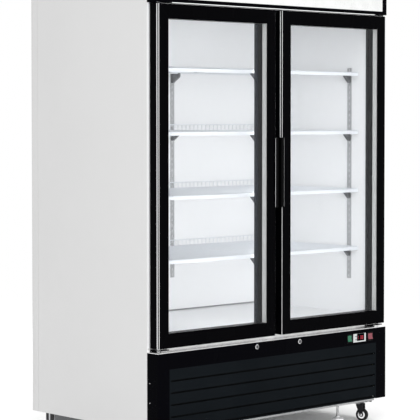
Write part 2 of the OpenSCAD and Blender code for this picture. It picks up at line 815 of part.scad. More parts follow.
// Fan housing with the motor carried behind it on three arms
module fan_shroud() {
    t = 2;
    x = [cond_x[0] + 8, cond_x[1] - 8];
    color(dark_steel) {
        difference() {
            slab(x, [cond_d[1], shroud_d], cond_z);
            slab([x[0] + t, x[1] - t], [cond_d[1] - eps, shroud_d - t],
                [cond_z[0] + t, cond_z[1] - t]);
            rod_y(fan_x, fan_z, fan_r + 8, [shroud_d - t - eps, shroud_d + eps]);
        }
        rod_y(fan_x, fan_z, 40, [motor_d, motor_d + 60]);
        rod_y(fan_x, fan_z, shaft_r, [motor_d - 25, motor_d]);
        for (a = [90, 210, 330]) translate([fan_x, front_y + motor_d + 6, fan_z])
            rotate([0, -a, 0]) translate([38, -3, -6]) cube([fan_r - 12, 6, 12]);
        for (a = [90, 210, 330]) translate([fan_x, front_y + shroud_d, fan_z])
            rotate([0, -a, 0]) translate([fan_r + 14, 0, -6]) cube([12, motor_d + 9 - shroud_d, 12]);
    }
}
module condenser_fan() {
    color([0.8, 0.8, 0.82]) fan(fan_x, fan_z, fan_r, [motor_d - 41, motor_d - 5], 5, [13, 37]);
}

module drip_pan() {
    x = [370, 640];
    d = [280, 660];
    h = 45;
    color(matt_black) difference() {
        slab(x, d, [deck_z, deck_z + h]);
        slab([x[0] + 2, x[1] - 2], [d[0] + 2, d[1] - 2], [deck_z + 2, deck_z + h + eps]);
    }
}

// Copper lines between the compressor, the coils and the riser in the rear foam
pipe_r = 5;
riser_x = 507;
riser_d = 775;
riser_z = evap_z0 + 12 + 15;
line_z = 330;
coil_line_z = cond_z[0] + 15 + 240;
coil_line_d = cond_d[0] + 10;
module refrigerant_pipes() {
    into = 283;
    side_x = cond_x[1] + 30;
    color(copper) {
        rod_z(comp_x + 40, comp_d, pipe_r, [into, line_z]);
        joint_ball(comp_x + 40, comp_d, line_z);
        rod_x(comp_d, line_z, pipe_r, [comp_x + 40, riser_x]);
        joint_ball(riser_x, comp_d, line_z);
        rod_y(riser_x, line_z, pipe_r, [comp_d, riser_d]);
        joint_ball(riser_x, riser_d, line_z);
        rod_z(riser_x, riser_d, pipe_r, [line_z, riser_z]);
        joint_ball(riser_x, riser_d, riser_z);
        rod_y(riser_x, riser_z, pipe_r, [540, riser_d]);
        joint_ball(riser_x, 540, riser_z);
        rod_x(540, riser_z, pipe_r, [500, riser_x]);
        rod_z(comp_x - 40, comp_d, pipe_r, [into, coil_line_z]);
        joint_ball(comp_x - 40, comp_d, coil_line_z);
        rod_x(comp_d, coil_line_z, pipe_r, [side_x, comp_x - 40]);
        joint_ball(side_x, comp_d, coil_line_z);
        rod_y(side_x, coil_line_z, pipe_r, [coil_line_d, comp_d]);
        joint_ball(side_x, coil_line_d, coil_line_z);
        rod_x(coil_line_d, coil_line_z, pipe_r, [cond_x[1], side_x]);
    }
}
module joint_ball(x, d, z) {
    translate([x, front_y + d, z]) sphere(r = pipe_r);
}

// Appliance inlet in the lower rear cover
inlet_x = -560;
inlet_z = 150;
inlet_w = 28;
inlet_h = 20;
module power_inlet() {
    flange_w = 50;
    flange_h = 30;
    color(matt_black) difference() {
        union() {
            slab([inlet_x - flange_w / 2, inlet_x + flange_w / 2],
                [grille_d + skin_t, grille_d + skin_t + 3],
                [inlet_z - flange_h / 2, inlet_z + flange_h / 2]);
            slab([inlet_x - inlet_w / 2, inlet_x + inlet_w / 2], [grille_d - 24, grille_d + skin_t],
                [inlet_z - inlet_h / 2, inlet_z + inlet_h / 2]);
        }
        slab([inlet_x - 11, inlet_x + 11], [grille_d - 16, grille_d + skin_t + 4],
            [inlet_z - 7.5, inlet_z + 7.5]);
    }
    color(steel) for (i = [-1:1])
        slab([inlet_x + i * 6 - 1, inlet_x + i * 6 + 1], [grille_d - 17, grille_d - 4],
            [inlet_z - 1.5 + (i == 0 ? 2 : 0), inlet_z + 1.5 + (i == 0 ? 2 : 0)]);
}

// Screws: corner posts, hinge plates and the lower rear cover
screw_r = 2.5;
post_screw_d = 47;
post_screw_z = [222, 301];
module screws() {
    head_r = 5;
    color(steel) {
        both_sides() {
            for (z = post_screw_z)
                rod_x(post_screw_d, z, screw_r, [-half_w, -half_w + 10]);
            for (dx = [-6, 39])
                rod_y(-hinge_x + dx, (fascia_z + sill_t + low_hinge[0]) / 2, 2,
                    [front_t - 6.5, front_t - 5]);
            for (z = [deck_z + 20, machine_top - 15])
                rod_y(-half_w + 30, z, head_r, [grille_d + skin_t, grille_d + skin_t + 2]);
        }
    }
}

// ---- casters and legs ----

module caster_plates() {
    color(dark_steel) for (c = casters) {
        translate([c[1] - plate_w / 2, front_y + c[2] - plate_w / 2, rail_z - plate_t])
            cube([plate_w, plate_w, plate_t]);
        rod_z(c[1], c[2], kingpin_r, [fork_top - fork_t - 2, rail_z - plate_t]);
        rod_z(c[1], c[2], kingpin_r + 4, [fork_top - fork_t - 4.5, fork_top - fork_t - 0.5]);
    }
}

// Fork with its axle, turned to its rest direction about the swivel pin
module fork(c) {
    inside = wheel_w / 2 + fork_gap;
    drop = fork_top - wheel_r;
    color(matt_black) translate([c[1], front_y + c[2], 0]) rotate([0, 0, caster_yaw]) {
        difference() {
            union() {
                translate([0, 0, fork_top - fork_t]) cylinder(r = 21, h = fork_t);
                translate([-6, -inside - fork_wall, fork_top - fork_t])
                    cube([trail + 16, 2 * (inside + fork_wall), fork_t]);
            }
            translate([0, 0, fork_top - fork_t - eps])
                cylinder(r = kingpin_r + run_clear, h = fork_t + 2 * eps);
        }
        for (s = [-1, 1]) translate([trail, s * (inside + fork_wall / 2) + fork_wall / 2, wheel_r])
            rotate([90, 0, 0]) linear_extrude(fork_wall) {
                circle(r = 9);
                polygon([[-9, 0], [9, 0], [10, drop - fork_t + 1], [-24, drop - fork_t + 1]]);
            }
    }
    color(steel) translate([c[1], front_y + c[2], 0]) rotate([0, 0, caster_yaw])
        translate([trail, inside + fork_wall + 2, wheel_r]) rotate([90, 0, 0])
            cylinder(r = axle_r, h = 2 * (inside + fork_wall + 2));
}
module caster_fork_fl() { fork(casters[0]); }
module caster_fork_fr() { fork(casters[1]); }
module caster_fork_rl() { fork(casters[2]); }
module caster_fork_rr() { fork(casters[3]); }

module wheel(c) {
    tread = 5;
    color(gloss_black) translate([c[1], front_y + c[2], 0]) rotate([0, 0, caster_yaw])
        translate([trail, 0, wheel_r]) rotate([90, 0, 0]) rotate_extrude()
            polygon([[axle_r + run_clear, -wheel_w / 2], [9, -wheel_w / 2], [11, -wheel_w / 2 + 3],
                [17, -wheel_w / 2 + 3], [19, -wheel_w / 2], [wheel_r - 3, -wheel_w / 2],
                [wheel_r, -wheel_w / 2 + tread], [wheel_r, wheel_w / 2 - tread],
                [wheel_r - 3, wheel_w / 2], [19, wheel_w / 2], [17, wheel_w / 2 - 3],
                [11, wheel_w / 2 - 3], [9, wheel_w / 2], [axle_r + run_clear, wheel_w / 2]]);
}
module caster_wheel_fl() { wheel(casters[0]); }
module caster_wheel_fr() { wheel(casters[1]); }
module caster_wheel_rl() { wheel(casters[2]); }
module caster_wheel_rr() { wheel(casters[3]); }

// Threaded leg with a wide round foot
module levelling_leg(s) {
    color(steel) translate([s * leg_x, front_y + leg_d, 0]) rotate_extrude()
        polygon([[0, 0], [25, 0], [27, 2], [27, 9], [26, 26], [24.5, 30.5], [16.5, 35.5],
            [10, 39], [9, 42], [thread_r, 42], [thread_r, skirt_z + 13], [0, skirt_z + 13]]);
}
module levelling_leg_left() { levelling_leg(-1); }
module levelling_leg_right() { levelling_leg(1); }

side_panel_left();
side_panel_right();
top_panel();
rear_panel();
rear_grille();
insulation();
inner_liner();
front_flange();
centre_mullion();
base_frame();
header_box();
sign_panel();
led_lamps();
corner_posts();
fascia_band();
louvre_panel();
door_sill();
thermostat();
key_up();
key_down();
rocker_green();
rocker_red();
front_bezels();
lock_core_left();
lock_core_right();
door_hinges();
pilasters();
shelf_clips();
shelves_left();
shelves_right();
evaporator_cover();
evaporator_coil();
evaporator_fan();
compressor();
condenser_coil();
fan_shroud();
condenser_fan();
drip_pan();
refrigerant_pipes();
power_inlet();
screws();
caster_plates();
caster_fork_fl();
caster_fork_fr();
caster_fork_rl();
caster_fork_rr();
caster_wheel_fl();
caster_wheel_fr();
caster_wheel_rl();
caster_wheel_rr();
levelling_leg_left();
levelling_leg_right();
door_frame_left();
door_frame_right();
glass_unit_left();
glass_unit_right();
gasket_left();
gasket_right();
handle_left();
handle_right();
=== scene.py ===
import json
import math

import bmesh
import bpy
from mathutils import Matrix, Vector


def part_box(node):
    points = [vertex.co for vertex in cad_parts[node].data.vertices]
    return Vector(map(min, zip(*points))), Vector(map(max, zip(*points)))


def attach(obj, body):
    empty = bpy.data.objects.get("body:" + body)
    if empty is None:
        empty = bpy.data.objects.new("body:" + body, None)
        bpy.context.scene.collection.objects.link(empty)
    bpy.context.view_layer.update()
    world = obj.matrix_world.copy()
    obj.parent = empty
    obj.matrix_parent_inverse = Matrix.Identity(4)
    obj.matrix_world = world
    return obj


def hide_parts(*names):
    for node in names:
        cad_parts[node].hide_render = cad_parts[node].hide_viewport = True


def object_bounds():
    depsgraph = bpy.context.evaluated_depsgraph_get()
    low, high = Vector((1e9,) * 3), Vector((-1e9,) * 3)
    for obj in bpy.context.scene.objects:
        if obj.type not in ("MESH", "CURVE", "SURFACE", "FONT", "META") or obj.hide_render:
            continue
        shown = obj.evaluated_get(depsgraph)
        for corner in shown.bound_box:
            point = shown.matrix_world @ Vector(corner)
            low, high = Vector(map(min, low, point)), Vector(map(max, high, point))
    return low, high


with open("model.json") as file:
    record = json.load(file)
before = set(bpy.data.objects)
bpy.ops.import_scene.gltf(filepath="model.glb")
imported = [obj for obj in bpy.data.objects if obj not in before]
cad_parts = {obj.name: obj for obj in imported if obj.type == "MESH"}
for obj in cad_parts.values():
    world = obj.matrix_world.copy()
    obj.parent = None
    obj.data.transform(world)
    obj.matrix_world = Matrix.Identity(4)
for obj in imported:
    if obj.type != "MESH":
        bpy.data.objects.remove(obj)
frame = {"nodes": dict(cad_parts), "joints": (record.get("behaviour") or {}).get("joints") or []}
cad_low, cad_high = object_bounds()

# Looks of a two-door glass door merchandiser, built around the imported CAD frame.
# Metres, +Z up, the front faces -Y. A depth is measured back from the doors' face.

nodes = frame["nodes"]
joints = {j["name"]: j for j in frame["joints"]}
face_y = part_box("door_frame_left")[0].y
half_w = cad_high.x
SIDES = (("left", -1), ("right", 1))
door_pin = joints["door_left_swing"]["pos_m"]
pin_x, pin_y = -door_pin[0], door_pin[1]
low_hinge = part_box("door_hinges")[0].z + 0.007

SHARP = math.radians(35)  # edges sharper than this are rounded or shaded as edges
LIP_BELOW, LIP_ABOVE = 0.054, 0.2955  # from the flange's lower and upper edge to its opening
LOW_HINGE_Z = (low_hinge, low_hinge + 0.004)  # under and upper side of the lower hinges' plates
SHELVES = 4  # in each section
WHEEL_HALF, WHEEL_GAP, FORK_PLATE = 0.010, 0.0012, 0.0023  # half a wheel's width, and the fork beside it
DIGITS = ("abgcd", "abcdefg")  # the lit bars of a 3 and an 8
DIGIT_W, DIGIT_H, DIGIT_BAR = 0.0078, 0.0145, 0.0013


def depth(d):
    """The y of a place d metres behind the doors' face."""
    return face_y + d


def depths(near, far):
    """The y of two such places."""
    return depth(near), depth(far)


# ---- shapes: each is (vertices, faces) ----

def block(x, y, z):
    """A box between two values of each of x, y and z."""
    verts = [(a, b, c) for a in sorted(x) for b in sorted(y) for c in sorted(z)]
    faces = [(0, 1, 3, 2), (4, 6, 7, 5), (0, 4, 5, 1), (2, 3, 7, 6), (0, 2, 6, 4), (1, 5, 7, 3)]
    return verts, faces


def join(*shapes):
    verts, faces = [], []
    for v, f in shapes:
        first = len(verts)
        verts += v
        faces += [tuple(i + first for i in face) for face in f]
    return verts, faces


def moved(shape, matrix):
    return [tuple(matrix @ Vector(p)) for p in shape[0]], shape[1]


def prism(outline, low, high, along):
    """A flat outline pushed along one axis. Its points are (y, z), (x, z) or (x, y)."""
    order = {"x": lambda u, v, w: (w, u, v), "y": lambda u, v, w: (u, w, v), "z": lambda u, v, w: (u, v, w)}
    n = len(outline)
    verts = [order[along](u, v, w) for w in (low, high) for u, v in outline]
    faces = [tuple(range(n)), tuple(range(2 * n - 1, n - 1, -1))]
    faces += [(i, (i + 1) % n, n + (i + 1) % n, n + i) for i in range(n)]
    return verts, faces


def lathe(profile, n=40, closed=False):
    """(radius, height) points turned about +Z. closed joins the last point to the first."""
    verts, rows = [], []
    for r, h in profile:
        first = len(verts)
        turns = [0] if r == 0 else range(n)
        verts += [(r * math.cos(2 * math.pi * i / n), r * math.sin(2 * math.pi * i / n), h) for i in turns]
        rows.append([first + i for i in turns])
    faces = []
    for a, b in zip(rows, rows[1:] + rows[:1] if closed else rows[1:]):
        for i in range(n):
            ring = [a[i % len(a)], a[(i + 1) % len(a)], b[(i + 1) % len(b)], b[i % len(b)]]
            face = list(dict.fromkeys(ring))
            if len(face) > 2:
                faces.append(tuple(face))
    return verts, faces


def tube(points, r, n=8):
    """A round bar along a line of points, with flat ends."""
    pts = [Vector(p) for p in points]
    side = (pts[1] - pts[0]).orthogonal().normalized()
    verts, faces = [], []
    for i, p in enumerate(pts):
        into = (p - pts[max(i - 1, 0)]) if i else pts[1] - p
        out = (pts[min(i + 1, len(pts) - 1)] - p) if i < len(pts) - 1 else into
        along = (into.normalized() + out.normalized()).normalized()
        side = (side - along * side.dot(along)).normalized()
        up = along.cross(side)
        for k in range(n):
            a = 2 * math.pi * k / n
            verts.append(tuple(p + side * (r * math.cos(a)) + up * (r * math.sin(a))))
    for i in range(len(pts) - 1):
        for k in range(n):
            j = (k + 1) % n
            faces.append((i * n + k, i * n + j, (i + 1) * n + j, (i + 1) * n + k))
    last = (len(pts) - 1) * n
    return verts, faces + [tuple(range(n - 1, -1, -1)), tuple(range(last, last + n))]


def bent(points, r, steps=4):
    """The same line of points with its corners rounded to radius r."""
    pts = [Vector(p) for p in points]
    line = [pts[0]]
    for before, p, after in zip(pts, pts[1:], pts[2:]):
        a, b = (before - p).normalized(), (after - p).normalized()
        reach = min(r / math.tan(a.angle(b) / 2), (before - p).length / 2, (after - p).length / 2)
        for k in range(steps + 1):
            t = k / steps
            line.append((p + a * reach) * (1 - t) ** 2 + p * (2 * t * (1 - t)) + (p + b * reach) * t ** 2)
    return line + [pts[-1]]


def swept_frame(x, z, profile, y0):
    """A closed profile of (inset, depth) points swept round a rectangle, mitred at its corners."""
    n = len(profile)
    corners = ((x[0], z[0], 1, 1), (x[1], z[0], -1, 1), (x[1], z[1], -1, -1), (x[0], z[1], 1, -1))
    verts = [(cx + sx * u, y0 + d, cz + sz * u) for cx, cz, sx, sz in corners for u, d in profile]
    faces = []
    for c in range(4):
        a, b = c * n, (c + 1) % 4 * n
        faces += [(a + i, a + (i + 1) % n, b + (i + 1) % n, b + i) for i in range(n)]
    return verts, faces


def round_rect(x, y, r, steps=4):
    """The outline of a rectangle with round corners."""
    left, right = x[0] + r, x[1] - r
    low, high = y[0] + r, y[1] - r
    turn = [math.radians(90 * k / steps) for k in range(steps + 1)]
    outline = []
    for cx, cy, start in ((right, high, 0), (left, high, 90), (left, low, 180), (right, low, 270)):
        first = math.radians(start)
        outline += [(cx + r * math.cos(first + t), cy + r * math.sin(first + t)) for t in turn]
    return outline


def upright(centre, axis):
    """A matrix that takes +Z to an axis through a point."""
    return Matrix.Translation(centre) @ Vector(axis).to_track_quat("Z", "Y").to_matrix().to_4x4()


# ---- pieces ----

def round_edges(obj, width):
    """Rounds the sharp edges and keeps the shading of flat faces flat."""
    bevel = obj.modifiers.new("round", "BEVEL")
    bevel.width = width
    bevel.segments = 2
    bevel.limit_method = "ANGLE"
    bevel.angle_limit = SHARP
    obj.modifiers.new("normals", "WEIGHTED_NORMAL")


def piece(name, shape, mat, body="cabinet", bevel=0.0, stands_for=()):
    """An object of one shape that rides on a body and may stand for hidden CAD nodes."""
    mesh = bpy.data.meshes.new(name)
    mesh.from_pydata(shape[0], [], shape[1])
    bm = bmesh.new()
    bm.from_mesh(mesh)
    bmesh.ops.recalc_face_normals(bm, faces=bm.faces)
    bm.to_mesh(mesh)
    bm.free()
    mesh.materials.append(mat)
    mesh.shade_smooth()
    obj = bpy.data.objects.new(name, mesh)
    bpy.context.scene.collection.objects.link(obj)
    if bevel:
        round_edges(obj, bevel)
    else:
        mesh.set_sharp_from_angle(angle=SHARP)
    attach(obj, body)
    if stands_for:
        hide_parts(*stands_for)
    return obj


def dress(node, mat, bevel=0.0):
    """Gives a CAD node its material and softens its sharp edges."""
    obj = nodes[node]
    obj.data.materials.clear()
    obj.data.materials.append(mat)
    if bevel:
        weld = obj.modifiers.new("weld", "WELD")
        weld.merge_threshold = 1e-5
        flat = obj.modifiers.new("flat", "DECIMATE")
        flat.decimate_type = "DISSOLVE"
        flat.angle_limit = math.radians(0.5)
        round_edges(obj, bevel)


# ---- materials ----

class Look:
    """A Principled material whose nodes are added one by one."""

    def __init__(self, name, colour, roughness, metallic=0.0, specular=0.5):
        self.mat = bpy.data.materials.new(name)
        self.mat.use_nodes = True
        self.tree = self.mat.node_tree
        self.shader = self.tree.nodes["Principled BSDF"]
        self.shader.inputs["Base Color"].default_value = (*colour, 1)
        self.shader.inputs["Roughness"].default_value = roughness
        self.shader.inputs["Metallic"].default_value = metallic
        self.shader.inputs["Specular IOR Level"].default_value = specular

    def node(self, kind, **values):
        made = self.tree.nodes.new(kind)
        for key, value in values.items():
            if key in made.inputs:
                made.inputs[key].default_value = value
            else:
                setattr(made, key, value)
        return made

    def link(self, a, b):
        self.tree.links.new(a, b)

    def place(self, stretch=(1, 1, 1)):
        where = self.node("ShaderNodeTexCoord")
        scaled = self.node("ShaderNodeMapping", Scale=stretch)
        self.link(where.outputs["Object"], scaled.inputs["Vector"])
        return scaled.outputs["Vector"]

    def noise(self, scale, detail=3.0, stretch=(1, 1, 1)):
        made = self.node("ShaderNodeTexNoise", Scale=scale, Detail=detail)
        self.link(self.place(stretch), made.inputs["Vector"])
        return made.outputs["Fac"]

    def cells(self, scale):
        made = self.node("ShaderNodeTexVoronoi", Scale=scale)
        self.link(self.place(), made.inputs["Vector"])
        return made.outputs["Color"]

    def bands(self, scale):
        made = self.node("ShaderNodeTexWave", Scale=scale, bands_direction="X", wave_profile="SIN")
        self.link(self.place(), made.inputs["Vector"])
        return made.outputs["Fac"]

    def ramp(self, source, low, high, start=0.3, end=0.7):
        made = self.node("ShaderNodeValToRGB")
        for stop, place, colour in zip(made.color_ramp.elements, (start, end), (low, high)):
            stop.position = place
            stop.color = (*colour, 1) if hasattr(colour, "__len__") else (colour, colour, colour, 1)
        self.link(source, made.inputs["Fac"])
        return made.outputs["Color"]

    def colour(self, source, low, high, start=0.3, end=0.7):
        self.link(self.ramp(source, low, high, start, end), self.shader.inputs["Base Color"])

    def rough(self, source, low, high, start=0.3, end=0.7):
        self.link(self.ramp(source, low, high, start, end), self.shader.inputs["Roughness"])

    def bump(self, height, strength, distance):
        made = self.node("ShaderNodeBump", Strength=strength, Distance=distance)
        self.link(height, made.inputs["Height"])
        self.link(made.outputs["Normal"], self.shader.inputs["Normal"])


def tint(colour, by):
    return tuple(min(1.0, c * by) for c in colour)


def paint(name, colour, roughness=0.4, specular=0.4, vary=0.03, peel=700):
    """Powder coat: an orange peel, a faint unevenness of shade and a wiped gloss."""
    look = Look(name, colour, roughness, specular=specular)
    look.colour(look.noise(2.5), tint(colour, 1 - vary), tint(colour, 1 + vary))
    look.rough(look.noise(14, 4.0), roughness * 0.85, roughness * 1.2)
    look.bump(look.noise(peel, 2.0), 0.12, 0.0004)
    return look.mat


def gloss(name, colour, roughness=0.18, specular=0.2):
    """Smooth black coating with faint wipe marks and fine dust."""
    look = Look(name, colour, roughness, specular=specular)
    look.colour(look.noise(220, 6.0), colour, tint(colour, 2.2), 0.55, 0.9)
    look.rough(look.noise(9, 5.0, (1, 1, 0.25)), roughness * 0.7, roughness * 1.6)
    look.bump(look.noise(60, 2.0), 0.04, 0.0003)
    return look.mat


def galvanised(name, colour, roughness=0.34):
    """Zinc-coated sheet with spangles of different grey."""
    look = Look(name, colour, roughness, metallic=0.6)
    grains = look.cells(95)
    look.colour(grains, tint(colour, 0.82), tint(colour, 1.12), 0.1, 0.9)
    look.rough(grains, roughness * 0.8, roughness * 1.3, 0.1, 0.9)
    look.bump(look.noise(500, 2.0), 0.08, 0.0003)
    return look.mat


def brushed(name, colour, roughness=0.28, stretch=(1, 1, 60), groove=0.1, metallic=1.0):
    """Metal with fine drawing lines along one axis."""
    look = Look(name, colour, roughness, metallic=metallic)
    lines = look.noise(900, 2.0, tuple(1 / s for s in stretch))
    look.colour(look.noise(40), tint(colour, 0.9), tint(colour, 1.08))
    look.rough(lines, roughness * 0.75, roughness * 1.35)
    look.bump(lines, groove, 0.0002)
    return look.mat


def plastic(name, colour, roughness=0.38, grain=1400, specular=0.35, vary=0.06):
    """Moulded plastic with a fine grain."""
    look = Look(name, colour, roughness, specular=specular)
    look.colour(look.noise(30), tint(colour, 1 - vary), tint(colour, 1 + vary))
    look.rough(look.noise(120, 4.0), roughness * 0.85, roughness * 1.2)
    look.bump(look.noise(grain, 2.0), 0.18, 0.0002)
    return look.mat


def rubber(name, colour, roughness=0.7):
    look = Look(name, colour, roughness, specular=0.25)
    look.colour(look.noise(160, 5.0), tint(colour, 0.85), tint(colour, 1.25))
    look.rough(look.noise(60), roughness * 0.85, min(1.0, roughness * 1.2))
    look.bump(look.noise(900, 3.0), 0.25, 0.0003)
    return look.mat


def lit(name, colour, glow, strength, roughness=0.3):
    """Translucent plastic with a lamp behind it, a little brighter in patches."""
    look = Look(name, colour, roughness)
    look.colour(look.noise(25), tint(colour, 0.94), tint(colour, 1.04))
    look.rough(look.noise(200), roughness * 0.8, roughness * 1.2)
    look.bump(look.noise(800, 2.0), 0.05, 0.0002)
    look.shader.inputs["Emission Color"].default_value = (*glow, 1)
    look.shader.inputs["Emission Strength"].default_value = strength
    return look.mat


def fins(name, colour, pitch):
    """The edges of a stack of aluminium fins, with dark bands that paint the shade in the gaps between them.
    """
    look = Look(name, colour, 0.4, metallic=1.0)
    lines = look.bands(math.pi / pitch / 20)
    # Dark bands: painted shade in the gaps between the fins.
    look.colour(lines, tint(colour, 0.25), colour, 0.2, 0.6)
    look.rough(look.noise(80), 0.3, 0.55)
    look.bump(lines, 0.6, 0.001)
    return look.mat


def wire_up(tree, *pairs):
    for a, b in pairs:
        tree.links.new(a, b)


def window_glass(name, straight=0.012, glancing=0.6):
    """Clear pane: light goes straight through, and it mirrors more the flatter it is looked at."""
    mat = bpy.data.materials.new(name)
    mat.use_nodes = True
    tree = mat.node_tree
    tree.nodes.clear()
    out = tree.nodes.new("ShaderNodeOutputMaterial")
    mix = tree.nodes.new("ShaderNodeMixShader")
    clear = tree.nodes.new("ShaderNodeBsdfTransparent")
    clear.inputs["Color"].default_value = (0.993, 0.995, 0.996, 1)
    mirror = tree.nodes.new("ShaderNodeBsdfGlossy")
    mirror.inputs["Color"].default_value = (0.95, 0.97, 1.0, 1)
    tilt = tree.nodes.new("ShaderNodeLayerWeight")
    tilt.inputs["Blend"].default_value = 0.5
    steep = tree.nodes.new("ShaderNodeMath")
    steep.operation = "POWER"
    steep.inputs[1].default_value = 5.0
    amount = tree.nodes.new("ShaderNodeMath")
    amount.operation = "MULTIPLY_ADD"
    amount.inputs[1].default_value = glancing
    amount.inputs[2].default_value = straight
    where = tree.nodes.new("ShaderNodeTexCoord")
    smear = tree.nodes.new("ShaderNodeTexNoise")
    smear.inputs["Scale"].default_value = 6
    shade = tree.nodes.new("ShaderNodeValToRGB")
    for stop, grey in zip(shade.color_ramp.elements, (0.01, 0.06)):
        stop.color = (grey, grey, grey, 1)
    wire_up(tree, (where.outputs["Object"], smear.inputs["Vector"]),
            (smear.outputs["Fac"], shade.inputs["Fac"]),
            (shade.outputs["Color"], mirror.inputs["Roughness"]),
            (tilt.outputs["Facing"], steep.inputs[0]),
            (steep.outputs[0], amount.inputs[0]),
            (amount.outputs[0], mix.inputs["Fac"]),
            (clear.outputs[0], mix.inputs[1]),
            (mirror.outputs[0], mix.inputs[2]),
            (mix.outputs[0], out.inputs["Surface"]))
    return mat


PANEL = paint("panel_paint", (0.532, 0.532, 0.532), 0.5, 0.2, vary=0.012)
LINER = paint("liner_paint", (0.88, 0.885, 0.895), 0.35, 0.3, vary=0.01)
WHITE_FLANGE = paint("flange_paint", (0.64, 0.65, 0.66), 0.35, vary=0.01)
BLACK_GLOSS = gloss("black_gloss", (0.0006, 0.0006, 0.0012), specular=0.012)
BLACK_FRAME = gloss("black_frame", (0.0006, 0.0006, 0.0009), 0.22, 0.012)
# Matt black of the louvre panel and the mitre joints, also used for the painted shade in the screws' cross
# recesses.
BLACK_MATT_AND_SHADE = paint("black_matt", (0.0036, 0.0048, 0.006), 0.6, 0.02, vary=0.15, peel=1500)
BLACK_PLASTIC = plastic("black_plastic", (0.0025, 0.0025, 0.003), 0.35, specular=0.08)
HANDLE_BLACK = gloss("handle_black", (0.001, 0.001, 0.0012), 0.25, 0.025)
MULLION_BLACK = gloss("mullion_black", (0.0085, 0.0105, 0.0175), 0.15, 0.12)
STEEL_SHEET = galvanised("galvanised_sheet", (0.4, 0.405, 0.41), 0.36)
SILL_STEEL = brushed("sill_steel", (0.96, 0.962, 0.965), 0.06, (60, 1, 1), 0.01, metallic=0.6)
ZINC = brushed("zinc_plate", (0.5, 0.51, 0.52), 0.38)
FOOT_STEEL = brushed("foot_steel", (0.84, 0.85, 0.86), 0.3, metallic=0.6)
PILASTER_STEEL = brushed("pilaster_steel", (0.55, 0.555, 0.56), 0.4)
CLIP_STEEL = brushed("clip_steel", (0.16, 0.165, 0.17), 0.4)
# Dark steel of the lock cores, also used for the painted shade in the lock barrels' recesses.
CORE_STEEL_AND_SHADE = brushed("lock_core_steel_and_painted_shade", (0.1, 0.1, 0.105), 0.35)
# Grey of the painted highlight along the handles' edges.
HANDLE_HIGHLIGHT_GREY = plastic("handle_highlight", (0.5, 0.5, 0.51), 0.3)
BRIGHT = brushed("bright_metal", (0.82, 0.82, 0.83), 0.18, (1, 60, 1))
# Silver of the header's strip, also used for the painted highlights along the door edges.
TRIM_AND_HIGHLIGHT = plastic("silver_trim_and_painted_highlight", (0.82, 0.825, 0.83), 0.3, vary=0.02)
SPACER = plastic("spacer_grey", (0.46, 0.465, 0.46), 0.5, vary=0.02)
# Grey of the bead in the liner's rear floor corner: painted shade.
CORNER_SHADE_GREY = rubber("corner_painted_shade", (0.24, 0.24, 0.245), 0.6)
SIGN = lit("sign_acrylic", (0.54, 0.545, 0.54), (1.0, 0.99, 0.97), 0.02)
LAMP = lit("lamp_cover", (0.9, 0.9, 0.9), (1.0, 0.995, 0.985), 11.5)
CONTROLLER = plastic("controller_plastic", (0.42, 0.43, 0.43), 0.35, vary=0.03)
KEY_RUBBER = rubber("key_rubber", (0.07, 0.07, 0.075), 0.6)
GREEN_LENS = lit("green_lens", (0.006, 0.085, 0.042), (0.03, 0.9, 0.42), 0.02, 0.25)
RED_LENS = lit("red_lens", (0.15, 0.028, 0.04), (1.0, 0.16, 0.2), 0.02, 0.25)
RED_GLOW = lit("digit_glow", (0.3, 0.015, 0.03), (1.0, 0.04, 0.08), 0.45)
WIRE_COAT = plastic("wire_coat", (0.74, 0.765, 0.8), 0.3, grain=700, vary=0.03)
GLASS = window_glass("pane_glass")
GASKET = rubber("gasket_rubber", (0.5, 0.51, 0.52), 0.6)
FINS = fins("coil_fins", (0.72, 0.73, 0.74), 0.0024)
FAN_PLASTIC = plastic("fan_plastic", (0.02, 0.02, 0.022))
FAN_METAL = brushed("fan_aluminium", (0.7, 0.7, 0.72), 0.35)
SHELL_PAINT = gloss("compressor_paint", (0.01, 0.01, 0.012), 0.3, 0.4)
COPPER = brushed("copper_pipe", (0.62, 0.3, 0.18), 0.3)
CASTER_STEEL = paint("caster_steel", (0.008, 0.008, 0.009), 0.35, 0.2, vary=0.15, peel=1200)
CASTER_TREAD = rubber("caster_tread", (0.006, 0.006, 0.006), 0.55)
RIM_GREY = plastic("rim_plastic", (0.92, 0.925, 0.93), 0.4)
FILTER = rubber("filter_mesh", (0.0015, 0.0015, 0.0016), 0.9)
# Dark grey of the sheets on the side base rails: painted shadow.
RAIL_SHADE = paint("rail_painted_shade", (0.075, 0.077, 0.08), 0.5, 0.3, vary=0.15, peel=900)
FOAM = rubber("foam", (0.75, 0.66, 0.38), 0.9)


# ---- CAD nodes that keep their shape ----

